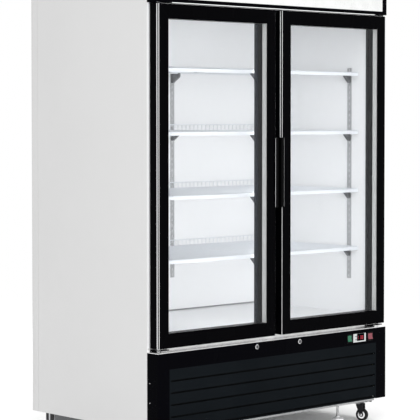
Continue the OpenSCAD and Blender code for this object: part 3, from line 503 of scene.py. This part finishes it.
KEPT = {
    "top_panel": (PANEL, 0.0005), "rear_panel": (PANEL, 0.0005), "rear_grille": (PANEL, 0.0004),
    "insulation": (FOAM, 0), "inner_liner": (LINER, 0.0008), "centre_mullion": (MULLION_BLACK, 0.0012),
    "base_frame": (STEEL_SHEET, 0.0006), "header_box": (BLACK_GLOSS, 0.001), "sign_panel": (SIGN, 0.0006),
    "led_lamps": (LAMP, 0.002), "corner_posts": (BLACK_GLOSS, 0.0014), "fascia_band": (BLACK_GLOSS, 0.0006),
    "louvre_panel": (BLACK_MATT_AND_SHADE, 0.0004), "door_sill": (SILL_STEEL, 0.0004),
    "thermostat": (CONTROLLER, 0.0007), "key_up": (KEY_RUBBER, 0.0006), "key_down": (KEY_RUBBER, 0.0006),
    "rocker_green": (GREEN_LENS, 0.0005), "rocker_red": (RED_LENS, 0.0005),
    "lock_core_left": (CORE_STEEL_AND_SHADE, 0.0003), "lock_core_right": (CORE_STEEL_AND_SHADE, 0.0003),
    "pilasters": (PILASTER_STEEL, 0.0003), "shelf_clips": (CLIP_STEEL, 0.0006),
    "evaporator_cover": (LINER, 0.0008), "evaporator_coil": (FINS, 0), "evaporator_fan": (FAN_PLASTIC, 0),
    "compressor": (SHELL_PAINT, 0), "condenser_coil": (FINS, 0), "fan_shroud": (ZINC, 0.0005),
    "condenser_fan": (FAN_METAL, 0), "drip_pan": (BLACK_PLASTIC, 0.0006), "refrigerant_pipes": (COPPER, 0),
    "power_inlet": (BLACK_PLASTIC, 0.0003), "caster_plates": (CASTER_STEEL, 0.0004),
    "door_frame_left": (BLACK_FRAME, 0.0009), "door_frame_right": (BLACK_FRAME, 0.0009),
    "handle_left": (HANDLE_BLACK, 0.0014), "handle_right": (HANDLE_BLACK, 0.0014),
}
for name, (mat, bevel) in KEPT.items():
    dress(name, mat, bevel)


# ---- outer casing ----

def side_skin(side, sign):
    """The side sheet, and the corner angle that closes it at the rear behind a fine joint."""
    low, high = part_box(f"side_panel_{side}")
    z = (low.z, high.z)
    sheet, gap = 0.0015, 0.0004
    joint_y = high.y - 0.043
    x = sign * half_w
    inside = x - sign * sheet
    main = block((x, inside), (low.y, joint_y - gap), z)
    piece(f"side_skin_{side}", main, PANEL, bevel=0.0005, stands_for=[f"side_panel_{side}"])
    edge = 0.003
    wing = x - sign * 0.0118
    turn = [math.radians(a) for a in range(0, 91, 15)]

    def bend(r):
        return [(x - sign * (edge - r * math.cos(a)), high.y - edge + r * math.sin(a)) for a in turn]

    start = (x - sign * 0.0003, joint_y + gap)
    flap = [(wing, high.y), (wing, high.y - sheet)]
    outline = [start] + bend(edge) + flap + bend(edge - sheet)[::-1] + [(inside, joint_y + gap)]
    piece(f"rear_corner_{side}", prism(outline, z[0], z[1], "z"), PANEL)


def front_flange():
    """White sheet round the opening, and the black return inside the opening's edge."""
    low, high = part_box("front_flange")
    sheet, rim_w = 0.002, 0.0485
    lip_z = (low.z + LIP_BELOW, high.z - LIP_ABOVE)
    profile = [(0, 0), (rim_w, 0), (rim_w, sheet), (0, sheet)]
    face = swept_frame((low.x, high.x), (low.z, high.z), profile, low.y)
    head = block((low.x + rim_w, high.x - rim_w), (low.y, low.y + sheet), (lip_z[1], high.z - rim_w))
    piece("flange_face", face, WHITE_FLANGE, bevel=0.0004, stands_for=["front_flange"])
    piece("flange_head", head, WHITE_FLANGE, bevel=0.0004)
    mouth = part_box("inner_liner")[1].x - 2 * sheet + 0.001
    mouth_z = (lip_z[0] - 0.003, lip_z[1] + 0.003)
    tuck, proud, deep = -0.004, 0.003, 0.0125
    profile = [(tuck, 0), (0.0022, 0), (proud, 0.0008), (proud, deep), (tuck, deep)]
    rim = swept_frame((-mouth, mouth), mouth_z, profile, low.y + 0.0004)
    piece("jamb_return", rim, BLACK_PLASTIC, bevel=0.0003)


def rear_bracket():
    """Dark brackets at the rear of the base rails, each with a strap, and dark ribbed sheets on the side
    rails that paint the shadow they lie in.
    """
    low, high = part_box("base_frame")
    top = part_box("side_panel_left")[0].z
    proud = 0.0012
    bracket_z, shade_sheet_z, strap_z = (low.z + 0.002, top), (low.z + 0.0005, top), (low.z + 0.004, top)
    brackets, shade_sheets, straps = [], [], []
    for _, s in SIDES:
        x = s * high.x
        brackets.append(block((x - s * 0.001, x + s * proud), depths(0.655, 0.706), bracket_z))
        brackets.append(block((x - s * 0.03, x + s * proud), depths(0.708, 0.7095), bracket_z))
        # Dark ribbed sheet over each side rail: painted shadow under the cabinet.
        shade_sheets.append(block((x - s * 0.0006, x + s * 0.0005), depths(0.078, 0.652), shade_sheet_z))
        for z in (low.z + 0.009, low.z + 0.018):
            shade_sheets.append(block((x, x + s * 0.0014), depths(0.09, 0.64), (z, z + 0.002)))
        straps.append(block((x + s * 0.001, x + s * 0.0018), depths(0.681, 0.690), strap_z))
    piece("rear_brackets", join(*brackets), CASTER_STEEL, bevel=0.0004)
    piece("side_rail_shade", join(*shade_sheets), RAIL_SHADE, bevel=0.0003)
    piece("bracket_straps", join(*straps), ZINC)


def louvre_filter():
    """Dark mesh filter behind the louvre panel, folded forward under its lowest slot."""
    low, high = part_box("louvre_panel")
    thick, inset = 0.003, 0.0025
    front, near = low.y + thick, high.y + 0.001
    far = near + thick
    under, fold, top = low.z + 0.0006, low.z + 0.0018, high.z - 0.002
    profile = [(front, under), (far, under), (far, top), (near, top), (near, fold), (front, fold)]
    piece("louvre_filter", prism(profile, low.x + inset, high.x - inset, "x"), FILTER)


def floor_corner_shade():
    """Grey bead where the liner's floor meets its rear wall: painted shade in that corner."""
    low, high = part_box("inner_liner")
    floor_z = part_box("front_flange")[0].z + LIP_BELOW
    rear = high.y - 0.002
    wide, inset = 0.005, 0.003
    hollow = wide * 0.35
    profile = [(rear - wide, floor_z), (rear, floor_z), (rear, floor_z + wide),
               (rear - hollow, floor_z + hollow)]
    piece("floor_corner_shade", prism(profile, low.x + inset, high.x - inset, "x"), CORNER_SHADE_GREY)


def header_trim():
    """Bright strip along the header's lower front edge, between the hinges."""
    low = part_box("header_box")[0]
    end = -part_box("door_hinges")[0].x - 0.066
    strip = block((-end, end), (low.y - 0.0002, low.y + 0.0008), (low.z - 0.0022, low.z))
    piece("header_trim", strip, TRIM_AND_HIGHLIGHT)


for side, sign in SIDES:
    side_skin(side, sign)
header_trim()
louvre_filter()
front_flange()
rear_bracket()


# ---- doors ----

def side_highlights(side, sign, low, high):
    """Bright lines on the door's side faces: painted highlights on the frame's corner and groove edges. The
    second inner line starts above the handle.
    """
    proud, sunk = 0.0003, 0.0005
    corner, groove = (low.y + 0.0004, low.y + 0.0030), (low.y + 0.0112, low.y + 0.0148)
    handle_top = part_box(f"handle_{side}")[1].z
    outer, inner = (low.x, high.x) if sign < 0 else (high.x, low.x)
    shapes = []
    for x, out, y, start in ((outer, sign, corner, low.z), (outer, sign, groove, low.z),
                             (inner, -sign, corner, low.z), (inner, -sign, groove, handle_top)):
        shapes.append(block((x - out * sunk, x + out * proud), y, (start, high.z)))
    for z, up in ((low.z, -1), (high.z, 1)):
        shapes.append(block((low.x, high.x), corner, (z - up * sunk, z + up * proud)))
    # These bright lines are painted highlights on the frame's edges.
    piece(f"edge_highlights_{side}", join(*shapes), TRIM_AND_HIGHLIGHT, f"door_{side}")


def glass_unit(side, body):
    """Two panes and the spacer between them, light at the sides and dark above and below."""
    low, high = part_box(f"glass_unit_{side}")
    pane, hidden, seen = 0.004, 0.0004, 0.0066
    pane_x, pane_z = (low.x + hidden, high.x - hidden), (low.z + hidden, high.z - hidden)
    front = block(pane_x, (low.y + hidden, low.y + pane), pane_z)
    rear = block(pane_x, (high.y - pane, high.y - hidden), pane_z)
    piece(f"panes_{side}", join(front, rear), GLASS, body, stands_for=[f"glass_unit_{side}"])
    y = (low.y + pane, high.y - pane)
    uprights = [block(x, y, (low.z, high.z)) for x in ((low.x, low.x + seen), (high.x - seen, high.x))]
    between = (low.x + seen, high.x - seen)
    rails = [block(between, y, z) for z in ((low.z, low.z + seen), (high.z - seen, high.z))]
    piece(f"spacer_uprights_{side}", join(*uprights), SPACER, body, bevel=0.0004)
    piece(f"spacer_rails_{side}", join(*rails), BLACK_PLASTIC, body, bevel=0.0004)


def seal(side, body):
    """Gasket: a soft wide lip with a notch at each side, on a narrow foot that holds it to the door."""
    low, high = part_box(f"gasket_{side}")
    t, w, dip = high.y - low.y, 0.016, 0.0006
    half = [(0, t), (0, t * 0.75), (0.0015, t * 0.66), (0, t * 0.56), (0.0012, 0.0052), (0.0058, 0.0048),
            (0.0058, 0.0003)]
    profile = half + [(w - u, d) for u, d in reversed(half)] + [(w * 0.75, t - dip), (w * 0.25, t - dip)]
    ring = swept_frame((low.x, high.x), (low.z, high.z), profile, low.y)
    piece(f"seal_{side}", ring, GASKET, body, stands_for=[f"gasket_{side}"])


def mitres(side, low, high, body):
    """Fine joint lines across the front corners of the door's frame."""
    line, start, stile, rail = 0.0003, 0.001, 0.050, 0.058
    y = (low.y - 0.00006, low.y + 0.0004)
    shapes = []
    for cx, sx in ((low.x, 1), (high.x, -1)):
        for cz, sz in ((low.z, 1), (high.z, -1)):
            x0, z0 = cx + sx * start, cz + sz * start
            x1, z1 = cx + sx * stile, cz + sz * rail
            side_w = sx * line
            outline = [(x0 - side_w, z0), (x0 + side_w, z0), (x1 + side_w, z1), (x1 - side_w, z1)]
            shapes.append(prism(outline, y[0], y[1], "y"))
    piece(f"mitres_{side}", join(*shapes), BLACK_MATT_AND_SHADE, body)


def door(side, sign):
    """What stands on or in one door's frame, apart from its handle."""
    body = f"door_{side}"
    low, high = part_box(f"door_frame_{side}")
    glass_unit(side, body)
    seal(side, body)
    side_highlights(side, sign, low, high)
    mitres(side, low, high, body)


def handle_highlight(side, sign):
    """Fine grey line painted as the highlight along the handle's outer front edge."""
    low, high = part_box(f"handle_{side}")
    wide, end = 0.0013, 0.003
    x = low.x if sign < 0 else high.x
    y = low.y + 0.0001
    edge = block((x, x - sign * wide), (y, y + wide), (low.z + end, high.z - end))
    piece(f"handle_highlight_{side}", edge, HANDLE_HIGHLIGHT_GREY, f"door_{side}", bevel=0.0004)


for side, sign in SIDES:
    door(side, sign)
    handle_highlight(side, sign)


def hinge_parts():
    """Black hinge plates and their bright pins."""
    low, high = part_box("door_hinges")
    door_low, door_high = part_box("door_frame_left")
    under, over = LOW_HINGE_Z
    high_plate = (high.z - 0.005, high.z - 0.001)
    tip_r, pin_r, head_r = 0.004, 0.005, 0.0075
    inside, chamfer = 0.02, 0.001
    bottom = under - 0.0045
    head = [(0, bottom), (head_r - chamfer, bottom), (head_r, bottom + chamfer), (head_r, under), (0, under)]
    foot_z, top_z = door_low.z + inside, door_high.z - inside
    foot = [(0, over), (pin_r, over), (pin_r, foot_z - chamfer), (tip_r, foot_z), (0, foot_z)]
    top = [(0, top_z), (tip_r, top_z), (pin_r, top_z + chamfer), (pin_r, high_plate[0]), (0, high_plate[0])]
    cap = [(0, high_plate[1]), (head_r, high_plate[1]), (head_r, high.z), (0, high.z)]
    washer = [(pin_r, over), (0.0085, over), (0.0085, over + 0.0012), (pin_r, over + 0.0012)]
    turned = [lathe(profile, 32) for profile in (head, foot, top, cap)] + [lathe(washer, 32, True)]
    plates, pins = [], []
    for _, s in SIDES:
        x = s * pin_x
        wide = (x + s * 0.012, x - s * 0.045)
        plates.append(block(wide, (low.y, depth(0.060)), LOW_HINGE_Z))
        plates.append(block(wide, (low.y, depth(0.062)), high_plate))
        plates.append(block(wide, depths(0.057, 0.060), (low.z, over)))
        at = Matrix.Translation((x, pin_y, 0))
        pins += [moved(shape, at) for shape in turned]
    piece("hinge_plates", join(*plates), BLACK_GLOSS, bevel=0.0007,
          stands_for=["door_hinges"])
    piece("hinge_pins", join(*pins), BRIGHT)


hinge_parts()


# ---- controls ----

def lock_barrels():
    """Bright lock barrels, each with a dark ring round its plug that paints the shade in the barrel's recess.
    """
    out = min(face_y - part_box("front_bezels")[0].y, 0.0015)
    bore, barrel, rim, deep = 0.00605, 0.0089, 0.010, 0.0138
    sleeve = [(bore, out - 0.0002), (bore + 0.0006, out), (rim - 0.0012, out), (rim, out - 0.0009), (rim, 0),
              (barrel, 0), (barrel, -deep), (bore, -deep)]
    near, far = bore + 0.0001, bore + 0.0016
    under, over = out - 0.0004, out + 0.00008
    ring = [(near, under), (near, over), (far, over), (far, under)]
    barrels, shade_rings = [], []
    for side, _ in SIDES:
        x, _, z = joints[f"lock_{side}_turn"]["pos_m"]
        place = upright((x, face_y, z), (0, -1, 0))
        barrels.append(moved(lathe(sleeve, 48, True), place))
        shade_rings.append(moved(lathe(ring, 48, True), place))
    piece("lock_barrels", join(*barrels), BRIGHT, stands_for=["front_bezels"])
    # The dark rings are painted shade in the recesses round the plugs.
    piece("lock_recess_shade", join(*shade_rings), CORE_STEEL_AND_SHADE)


def rocker_frames():
    """Box round each rocker switch, with a closed back and a bezel on the band."""
    wall, slack, half_h, deep, brim = 0.002, 0.0004, 0.016, 0.022, 0.001
    box = [(0, 0), (wall, 0), (wall, deep), (0, deep)]
    bezel = [(0, 0), (0, -0.0006), (0.0007, -0.0012), (wall + 0.0006, -0.0012), (wall + brim, 0)]
    shapes = []
    for colour, wide in (("green", 0.024), ("red", 0.028)):
        x, _, z = joints[f"rocker_{colour}_tip"]["pos_m"]
        reach_x, reach_z = wide / 2 + slack + wall, half_h + wall
        box_x, box_z = (x - reach_x, x + reach_x), (z - reach_z, z + reach_z)
        rim_x, rim_z = (box_x[0] - brim, box_x[1] + brim), (box_z[0] - brim, box_z[1] + brim)
        shapes.append(swept_frame(box_x, box_z, box, face_y))
        shapes.append(block(box_x, (face_y + deep, face_y + deep + wall), box_z))
        shapes.append(swept_frame(rim_x, rim_z, bezel, face_y))
    piece("rocker_frames", join(*shapes), BLACK_PLASTIC, bevel=0.00025)


def digit(lit_bars, x0, z0, y):
    """The lit bars of one figure. Bars are lettered clockwise from the top, with g across the middle."""
    rows = {"a": z0 + DIGIT_H - DIGIT_BAR, "g": z0 + (DIGIT_H - DIGIT_BAR) / 2, "d": z0}
    right = x0 + DIGIT_W - DIGIT_BAR
    columns = {"f": (x0, 1), "b": (right, 1), "e": (x0, 0), "c": (right, 0)}
    wide = (x0 + DIGIT_BAR * 0.7, x0 + DIGIT_W - DIGIT_BAR * 0.7)
    half = DIGIT_H / 2
    bars = []
    for letter in lit_bars:
        if letter in rows:
            bars.append(block(wide, y, (rows[letter], rows[letter] + DIGIT_BAR)))
        else:
            x, up = columns[letter]
            base = z0 + up * half
            bars.append(block((x, x + DIGIT_BAR), y, (base + DIGIT_BAR * 0.5, base + half - DIGIT_BAR * 0.5)))
    return bars


def display():
    """Dark window, two digits and two small marks beside them."""
    low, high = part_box("thermostat")
    mid = (low.z + high.z) / 2
    x, z = (low.x + 0.0225, low.x + 0.0712), (mid - 0.0132, high.z - 0.0002)
    front = low.y - 0.0004
    lens = prism(round_rect(x, z, 0.0015), front, low.y + 0.0012, "y")
    piece("display_lens", lens, BLACK_GLOSS, bevel=0.0003)
    y = (front - 0.00012, front + 0.0002)
    shapes = []
    for i, lit_bars in enumerate(DIGITS):
        shapes += digit(lit_bars, x[0] + 0.021 + i * (DIGIT_W + 0.0035), mid - DIGIT_H / 2 + 0.0015, y)
    mark_x = (x[0] + 0.006, x[0] + 0.009)
    for mark_z in (mid + 0.004, mid - 0.004):
        shapes.append(block(mark_x, y, (mark_z, mark_z + 0.002)))
    piece("display_digits", join(*shapes), RED_GLOW)


lock_barrels()
rocker_frames()
display()


# ---- screws ----

def screw(centre, axis, r, rise):
    """A domed head and a dark cross that paints the shade in its recess, as two shapes."""
    place = upright(centre, axis)
    dome = lathe([(r, 0), (r, rise * 0.3), (r * 0.86, rise * 0.72), (r * 0.5, rise * 0.96), (0, rise)], 24)
    long, thin = (-r * 0.5, r * 0.5), (-r * 0.13, r * 0.13)
    # The cross is a dark shape that paints the shade in the recess.
    cross = join(block(long, thin, (rise * 0.5, rise)), block(thin, long, (rise * 0.5, rise)))
    return moved(dome, place), moved(cross, place)


def screws():
    """Screws in the corner posts, the lower rear cover and the lower hinges."""
    low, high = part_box("screws")
    post_low, cover_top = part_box("corner_posts")[0].z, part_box("rear_grille")[1].z
    post_x, post_z = high.x - 0.0012, (post_low + 0.117, post_low + 0.196)
    cover_x, cover_z = half_w - 0.030, (low.z + 0.005, cover_top - 0.015)
    hinge_z = LOW_HINGE_Z[0] - 0.0035
    made = []
    for _, s in SIDES:
        for z in post_z:
            made.append(screw((s * post_x, depth(0.047), z), (s, 0, 0), 0.0034, 0.0011))
        for z in cover_z:
            made.append(screw((s * cover_x, high.y - 0.002, z), (0, 1, 0), 0.005, 0.002))
        for x in (pin_x + 0.006, pin_x - 0.039):
            made.append(screw((s * x, depth(0.057), hinge_z), (0, -1, 0), 0.002, 0.0015))
    heads, cross_shades = zip(*made)
    piece("screw_heads", join(*heads), BRIGHT, stands_for=["screws"])
    # The dark crosses are painted shade in the screws' recesses.
    piece("screw_recess_shade", join(*cross_shades), BLACK_MATT_AND_SHADE)


screws()


# ---- interior ----

def shelf_wires(x, front, back, mid):
    """Fine wires from front to rear, bent up at the rear, with the thicker bars that carry them."""
    wires, fine, thick = 26, 0.0015, 0.0026
    surface = mid + 0.011
    top, lip = surface - fine, surface + 0.025 - fine
    shapes = []
    for i in range(wires):
        at = x[0] + (x[1] - x[0]) * i / (wires - 1)
        nose = front + 0.0003
        run = [(at, nose, mid - 0.0045), (at, nose, top), (at, back, top), (at, back, lip)]
        shapes.append(tube(bent(run, 0.004), fine, 8))
    ends = (x[0] - 0.0004, x[1] + 0.0004)
    under, centre = top - fine - thick * 0.9, (front + back) / 2
    for y in (front + 0.012, centre - 0.1, centre + 0.1, back - 0.01):
        shapes.append(tube([(ends[0], y, under), (ends[1], y, under)], thick * 0.85, 10))
    shapes.append(tube([(ends[0], back - 0.0002, lip), (ends[1], back - 0.0002, lip)], 0.002, 10))
    bar_z = top - fine * 1.6
    for at in x:
        shapes.append(tube([(at, front + 0.004, bar_z), (at, back, bar_z)], thick * 0.8, 10))
    return join(*shapes)


def wire_shelf(side, level):
    """One shelf: its wires and the flat strip along its front."""
    low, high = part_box(f"shelves_{side}")
    tall = 0.043
    pitch = (high.z - low.z - tall) / (SHELVES - 1)
    mid = low.z + 0.007 + level * pitch
    wires = shelf_wires((low.x + 0.002, high.x - 0.002), low.y + 0.0022, high.y - 0.0022, mid)
    piece(f"wire_shelf_{side}_{level + 1}", wires, WIRE_COAT,
          stands_for=[f"shelves_{side}"])
    lower = [(0.003, -0.006), (0.0012, -0.007), (0, -0.0066)]
    outline = lower[::-1] + [(d, -up) for d, up in lower]
    strip = prism([(low.y + d, mid + up) for d, up in outline], low.x, high.x, "x")
    piece(f"shelf_edge_{side}_{level + 1}", strip, WIRE_COAT, bevel=0.0003)


for side, _ in SIDES:
    for level in range(SHELVES):
        wire_shelf(side, level)


def fan_guard():
    """Round wire guard over the evaporator's fan."""
    x, _, z = joints["evaporator_fan_spin"]["pos_m"]
    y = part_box("evaporator_cover")[0].y - 0.003
    spoke_y = y + 0.0018

    def at(r, degrees, y):
        a = math.radians(degrees)
        return x + r * math.cos(a), y, z + r * math.sin(a)

    shapes = []
    for r in (0.012, 0.024, 0.036, 0.048, 0.060, 0.071):
        shapes.append(tube([at(r, a, y) for a in range(0, 361, 12)], 0.0011, 6))
    for a in range(0, 360, 60):
        shapes.append(tube([at(0.01, a, spoke_y), at(0.073, a, spoke_y)], 0.0013, 6))
    piece("fan_guard", join(*shapes), WIRE_COAT)


fan_guard()
floor_corner_shade()


# ---- casters and legs ----

CORNERS = {"fl": "front_left", "fr": "front_right", "rl": "rear_left", "rr": "rear_right"}


def fork_shape(reach, axle_z, top):
    """Two legs, rounded under the axle, and the bridge that joins them."""
    round_r, crown = 0.0088, top - 0.0062
    angles = [math.radians(a) for a in range(-195, 16, 15)]
    arc = [(reach + round_r * math.cos(a), axle_z + round_r * math.sin(a)) for a in angles]
    back = [(reach + 0.0098, axle_z + 0.028), (reach + 0.009, crown), (-0.004, crown), (-0.004, top - 0.014)]
    legs = []
    for s in (-1, 1):
        y = s * (WHEEL_HALF + WHEEL_GAP)
        legs.append(prism(arc + back, y, y + s * FORK_PLATE, "y"))
    side = WHEEL_HALF + WHEEL_GAP + FORK_PLATE
    bridge = block((-0.006, reach + 0.0092), (-side, side), (crown, crown + 0.0026))
    return join(*legs, bridge)


def ball_race(top):
    bore, under = 0.0051, top - 0.006
    return lathe([(bore, top - 0.0002), (0.017, top - 0.0002), (0.0205, top - 0.0016), (0.021, top - 0.003),
                  (0.0195, top - 0.0055), (0.0165, under), (bore, under)], 40, True)


def axle_bolt():
    """Shaft with a round head at one end and a six-sided nut at the other."""
    side = WHEEL_HALF + WHEEL_GAP + FORK_PLATE
    r, end, tip = 0.004, side + 0.0001, side + 0.0019
    shaft = lathe([(0, -end), (r, -end), (r, end), (0, end)], 24)
    head = lathe([(0, side), (0.006, side), (0.006, side + 0.001), (0.0045, tip), (0, tip)], 24)
    nut = lathe([(0, side), (0.0062, side), (0.0062, side + 0.0017), (0.0055, tip), (0, tip)], 6)
    return join(shaft, head, moved(nut, Matrix.Rotation(math.pi, 4, "X")))


def both_faces(half_profile):
    """A closed profile that is the same on both faces of the wheel."""
    return half_profile + [(r, -h) for r, h in reversed(half_profile)]


def wheel_parts(short, words, r, place):
    """Dark tread, pale rim and dark hub."""
    h, seat = WHEEL_HALF, 0.0172
    tyre = [(seat, h - 0.0012), (0.0188, h), (r - 0.004, h), (r - 0.0012, h - 0.0022), (r, h - 0.0055)]
    rim = [(0.0098, h - 0.003), (0.0112, h - 0.0036), (0.0160, h - 0.0036), (seat, h - 0.0016)]
    hub = [(0.00406, h), (0.0088, h), (0.0098, h - 0.001)]
    body = f"wheel_{words}"
    piece(f"tyre_{short}", moved(lathe(both_faces(tyre), 48, True), place), CASTER_TREAD, body,
          stands_for=[f"caster_wheel_{short}"])
    piece(f"rim_{short}", moved(lathe(both_faces(rim), 48, True), place), RIM_GREY, body)
    piece(f"hub_{short}", moved(lathe(both_faces(hub), 40, True), place), CASTER_TREAD, body)


def caster(short, words):
    """A caster, turned about its king pin to the way that its fork trails."""
    body = f"caster_{words}"
    pin = Vector(joints[f"caster_{words}_swivel"]["pos_m"])
    hub = Vector(joints[f"caster_{words}_roll"]["pos_m"])
    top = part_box(f"caster_fork_{short}")[1].z
    trail = Vector((hub.x - pin.x, hub.y - pin.y, 0))
    turn = Matrix.Translation((pin.x, pin.y, 0)) @ Matrix.Rotation(math.atan2(trail.y, trail.x), 4, "Z")
    axle = turn @ Matrix.Translation((trail.length, 0, hub.z)) @ Matrix.Rotation(math.pi / 2, 4, "X")
    fork = moved(fork_shape(trail.length, hub.z, top), turn)
    piece(f"fork_{short}", fork, CASTER_STEEL, body, bevel=0.0006,
          stands_for=[f"caster_fork_{short}"])
    piece(f"ball_race_{short}", moved(ball_race(top), turn), ZINC, body)
    piece(f"axle_{short}", moved(axle_bolt(), axle), BRIGHT, body)
    wheel_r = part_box(f"caster_wheel_{short}")[1].z - hub.z
    wheel_parts(short, words, wheel_r, axle)


for short, words in CORNERS.items():
    caster(short, words)


def screw_thread(r, ridge, bottom, turns, pitch, steps=20):
    """A V thread wound up round a rod."""
    verts, faces = [], []
    for k in range(turns * steps + 1):
        a, z = 2 * math.pi * k / steps, bottom + pitch * k / steps
        for radius, up in ((r - ridge, 0), (r + ridge, pitch * 0.45), (r - ridge, pitch * 0.9)):
            verts.append((radius * math.cos(a), radius * math.sin(a), z + up))
    for k in range(turns * steps):
        for i in range(2):
            faces.append((k * 3 + i, k * 3 + i + 1, k * 3 + i + 4, k * 3 + i + 3))
    return verts, faces


def levelling_leg(side):
    """Turned foot on a threaded rod."""
    low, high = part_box(f"levelling_leg_{side}")
    body = f"leg_{side}"
    place = Matrix.Translation(((low.x + high.x) / 2, (low.y + high.y) / 2, 0))
    foot = [(0, 0), (0.0252, 0), (0.027, 0.002), (0.027, 0.009), (0.0262, 0.026), (0.0244, 0.0305),
            (0.0165, 0.0355), (0.0098, 0.0392), (0.0086, 0.042), (0, 0.042)]
    piece(f"leg_foot_{side}", moved(lathe(foot, 48), place), FOOT_STEEL, body,
          stands_for=[f"levelling_leg_{side}"])
    r, ridge, pitch, bottom, run_out = 0.0056, 0.0004, 0.00175, 0.0415, 0.003
    turns = int((high.z - bottom - run_out) / pitch)
    core_r = r - ridge * 0.9
    core = lathe([(0, bottom), (core_r, bottom), (core_r, high.z - 0.0012), (0.0042, high.z),
                  (0, high.z)], 24)
    rod = join(screw_thread(r, ridge, bottom, turns, pitch), core)
    piece(f"leg_rod_{side}", moved(rod, place), BRIGHT, body)


for side, _ in SIDES:
    levelling_leg(side)


# ---- stage, camera and lights ----

def floor():
    """Plain pale disc that fades out towards its edge."""
    sides, r, fade_from, fade_to = 96, 9.0, 1.4, 6.0
    turn = [2 * math.pi * i / sides for i in range(sides)]
    mesh = bpy.data.meshes.new("floor")
    mesh.from_pydata([(r * math.cos(a), r * math.sin(a), 0) for a in turn], [], [tuple(range(sides))])
    look = Look("floor_sheet", (0.93, 0.93, 0.93), 0.9, specular=0.0)
    tree = look.tree
    where = look.node("ShaderNodeTexCoord")
    length = look.node("ShaderNodeVectorMath", operation="LENGTH")
    fade = look.node("ShaderNodeMapRange", interpolation_type="SMOOTHSTEP")
    fade.inputs["From Min"].default_value = fade_from
    fade.inputs["From Max"].default_value = fade_to
    clear = look.node("ShaderNodeBsdfTransparent")
    mix = look.node("ShaderNodeMixShader")
    wire_up(tree, (where.outputs["Object"], length.inputs[0]),
            (length.outputs["Value"], fade.inputs["Value"]),
            (fade.outputs["Result"], mix.inputs["Fac"]),
            (look.shader.outputs[0], mix.inputs[1]),
            (clear.outputs[0], mix.inputs[2]),
            (mix.outputs[0], tree.nodes["Material Output"].inputs["Surface"]))
    mesh.materials.append(look.mat)
    obj = bpy.data.objects.new("floor", mesh)
    bpy.context.scene.collection.objects.link(obj)


def soft_light(name, at, aim, size, watts):
    """A large round lamp that throws soft light and isn't mirrored in the glass."""
    lamp = bpy.data.lights.new(name, "AREA")
    lamp.shape = "DISK"
    lamp.size = size
    lamp.energy = watts
    obj = bpy.data.objects.new(name, lamp)
    obj.location = at
    obj.rotation_mode = "QUATERNION"
    obj.rotation_quaternion = (Vector(aim) - Vector(at)).to_track_quat("-Z", "Y")
    obj.visible_glossy = False
    bpy.context.scene.collection.objects.link(obj)


def camera():
    """The photo's view: from the front left, a little above the middle of the cabinet."""
    data = bpy.data.cameras.new("camera")
    data.sensor_width = 36.0
    data.lens = 152.0
    data.shift_y = -0.06
    data.clip_start = 0.1
    data.clip_end = 200.0
    obj = bpy.data.objects.new("camera", data)
    obj.location = (-5.337, -5.577, 1.352)
    heading = math.atan2(0.69, 0.7239)
    pitch = math.radians(-2.15)
    obj.rotation_euler = (math.pi / 2 + pitch, 0, -heading)
    bpy.context.scene.collection.objects.link(obj)
    bpy.context.scene.camera = obj


def studio():
    """Plain white surroundings and three soft lamps."""
    soft_light("key", (-4.5, -4.0, 4.5), (0, 0, 1.0), 3.0, 120)
    soft_light("front", (-1.6, -5.6, 1.4), (0, 0, 1.2), 3.5, 210)
    soft_light("rear", (2.5, 5.0, 3.5), (0, 0, 1.0), 3.0, 90)
    world = bpy.data.worlds.new("studio")
    world.use_nodes = True
    background = world.node_tree.nodes["Background"]
    background.inputs["Color"].default_value = (1, 1, 1, 1)
    background.inputs["Strength"].default_value = 1.0
    bpy.context.scene.world = world
    bpy.context.scene.view_settings.view_transform = "Standard"


floor()
camera()
studio()
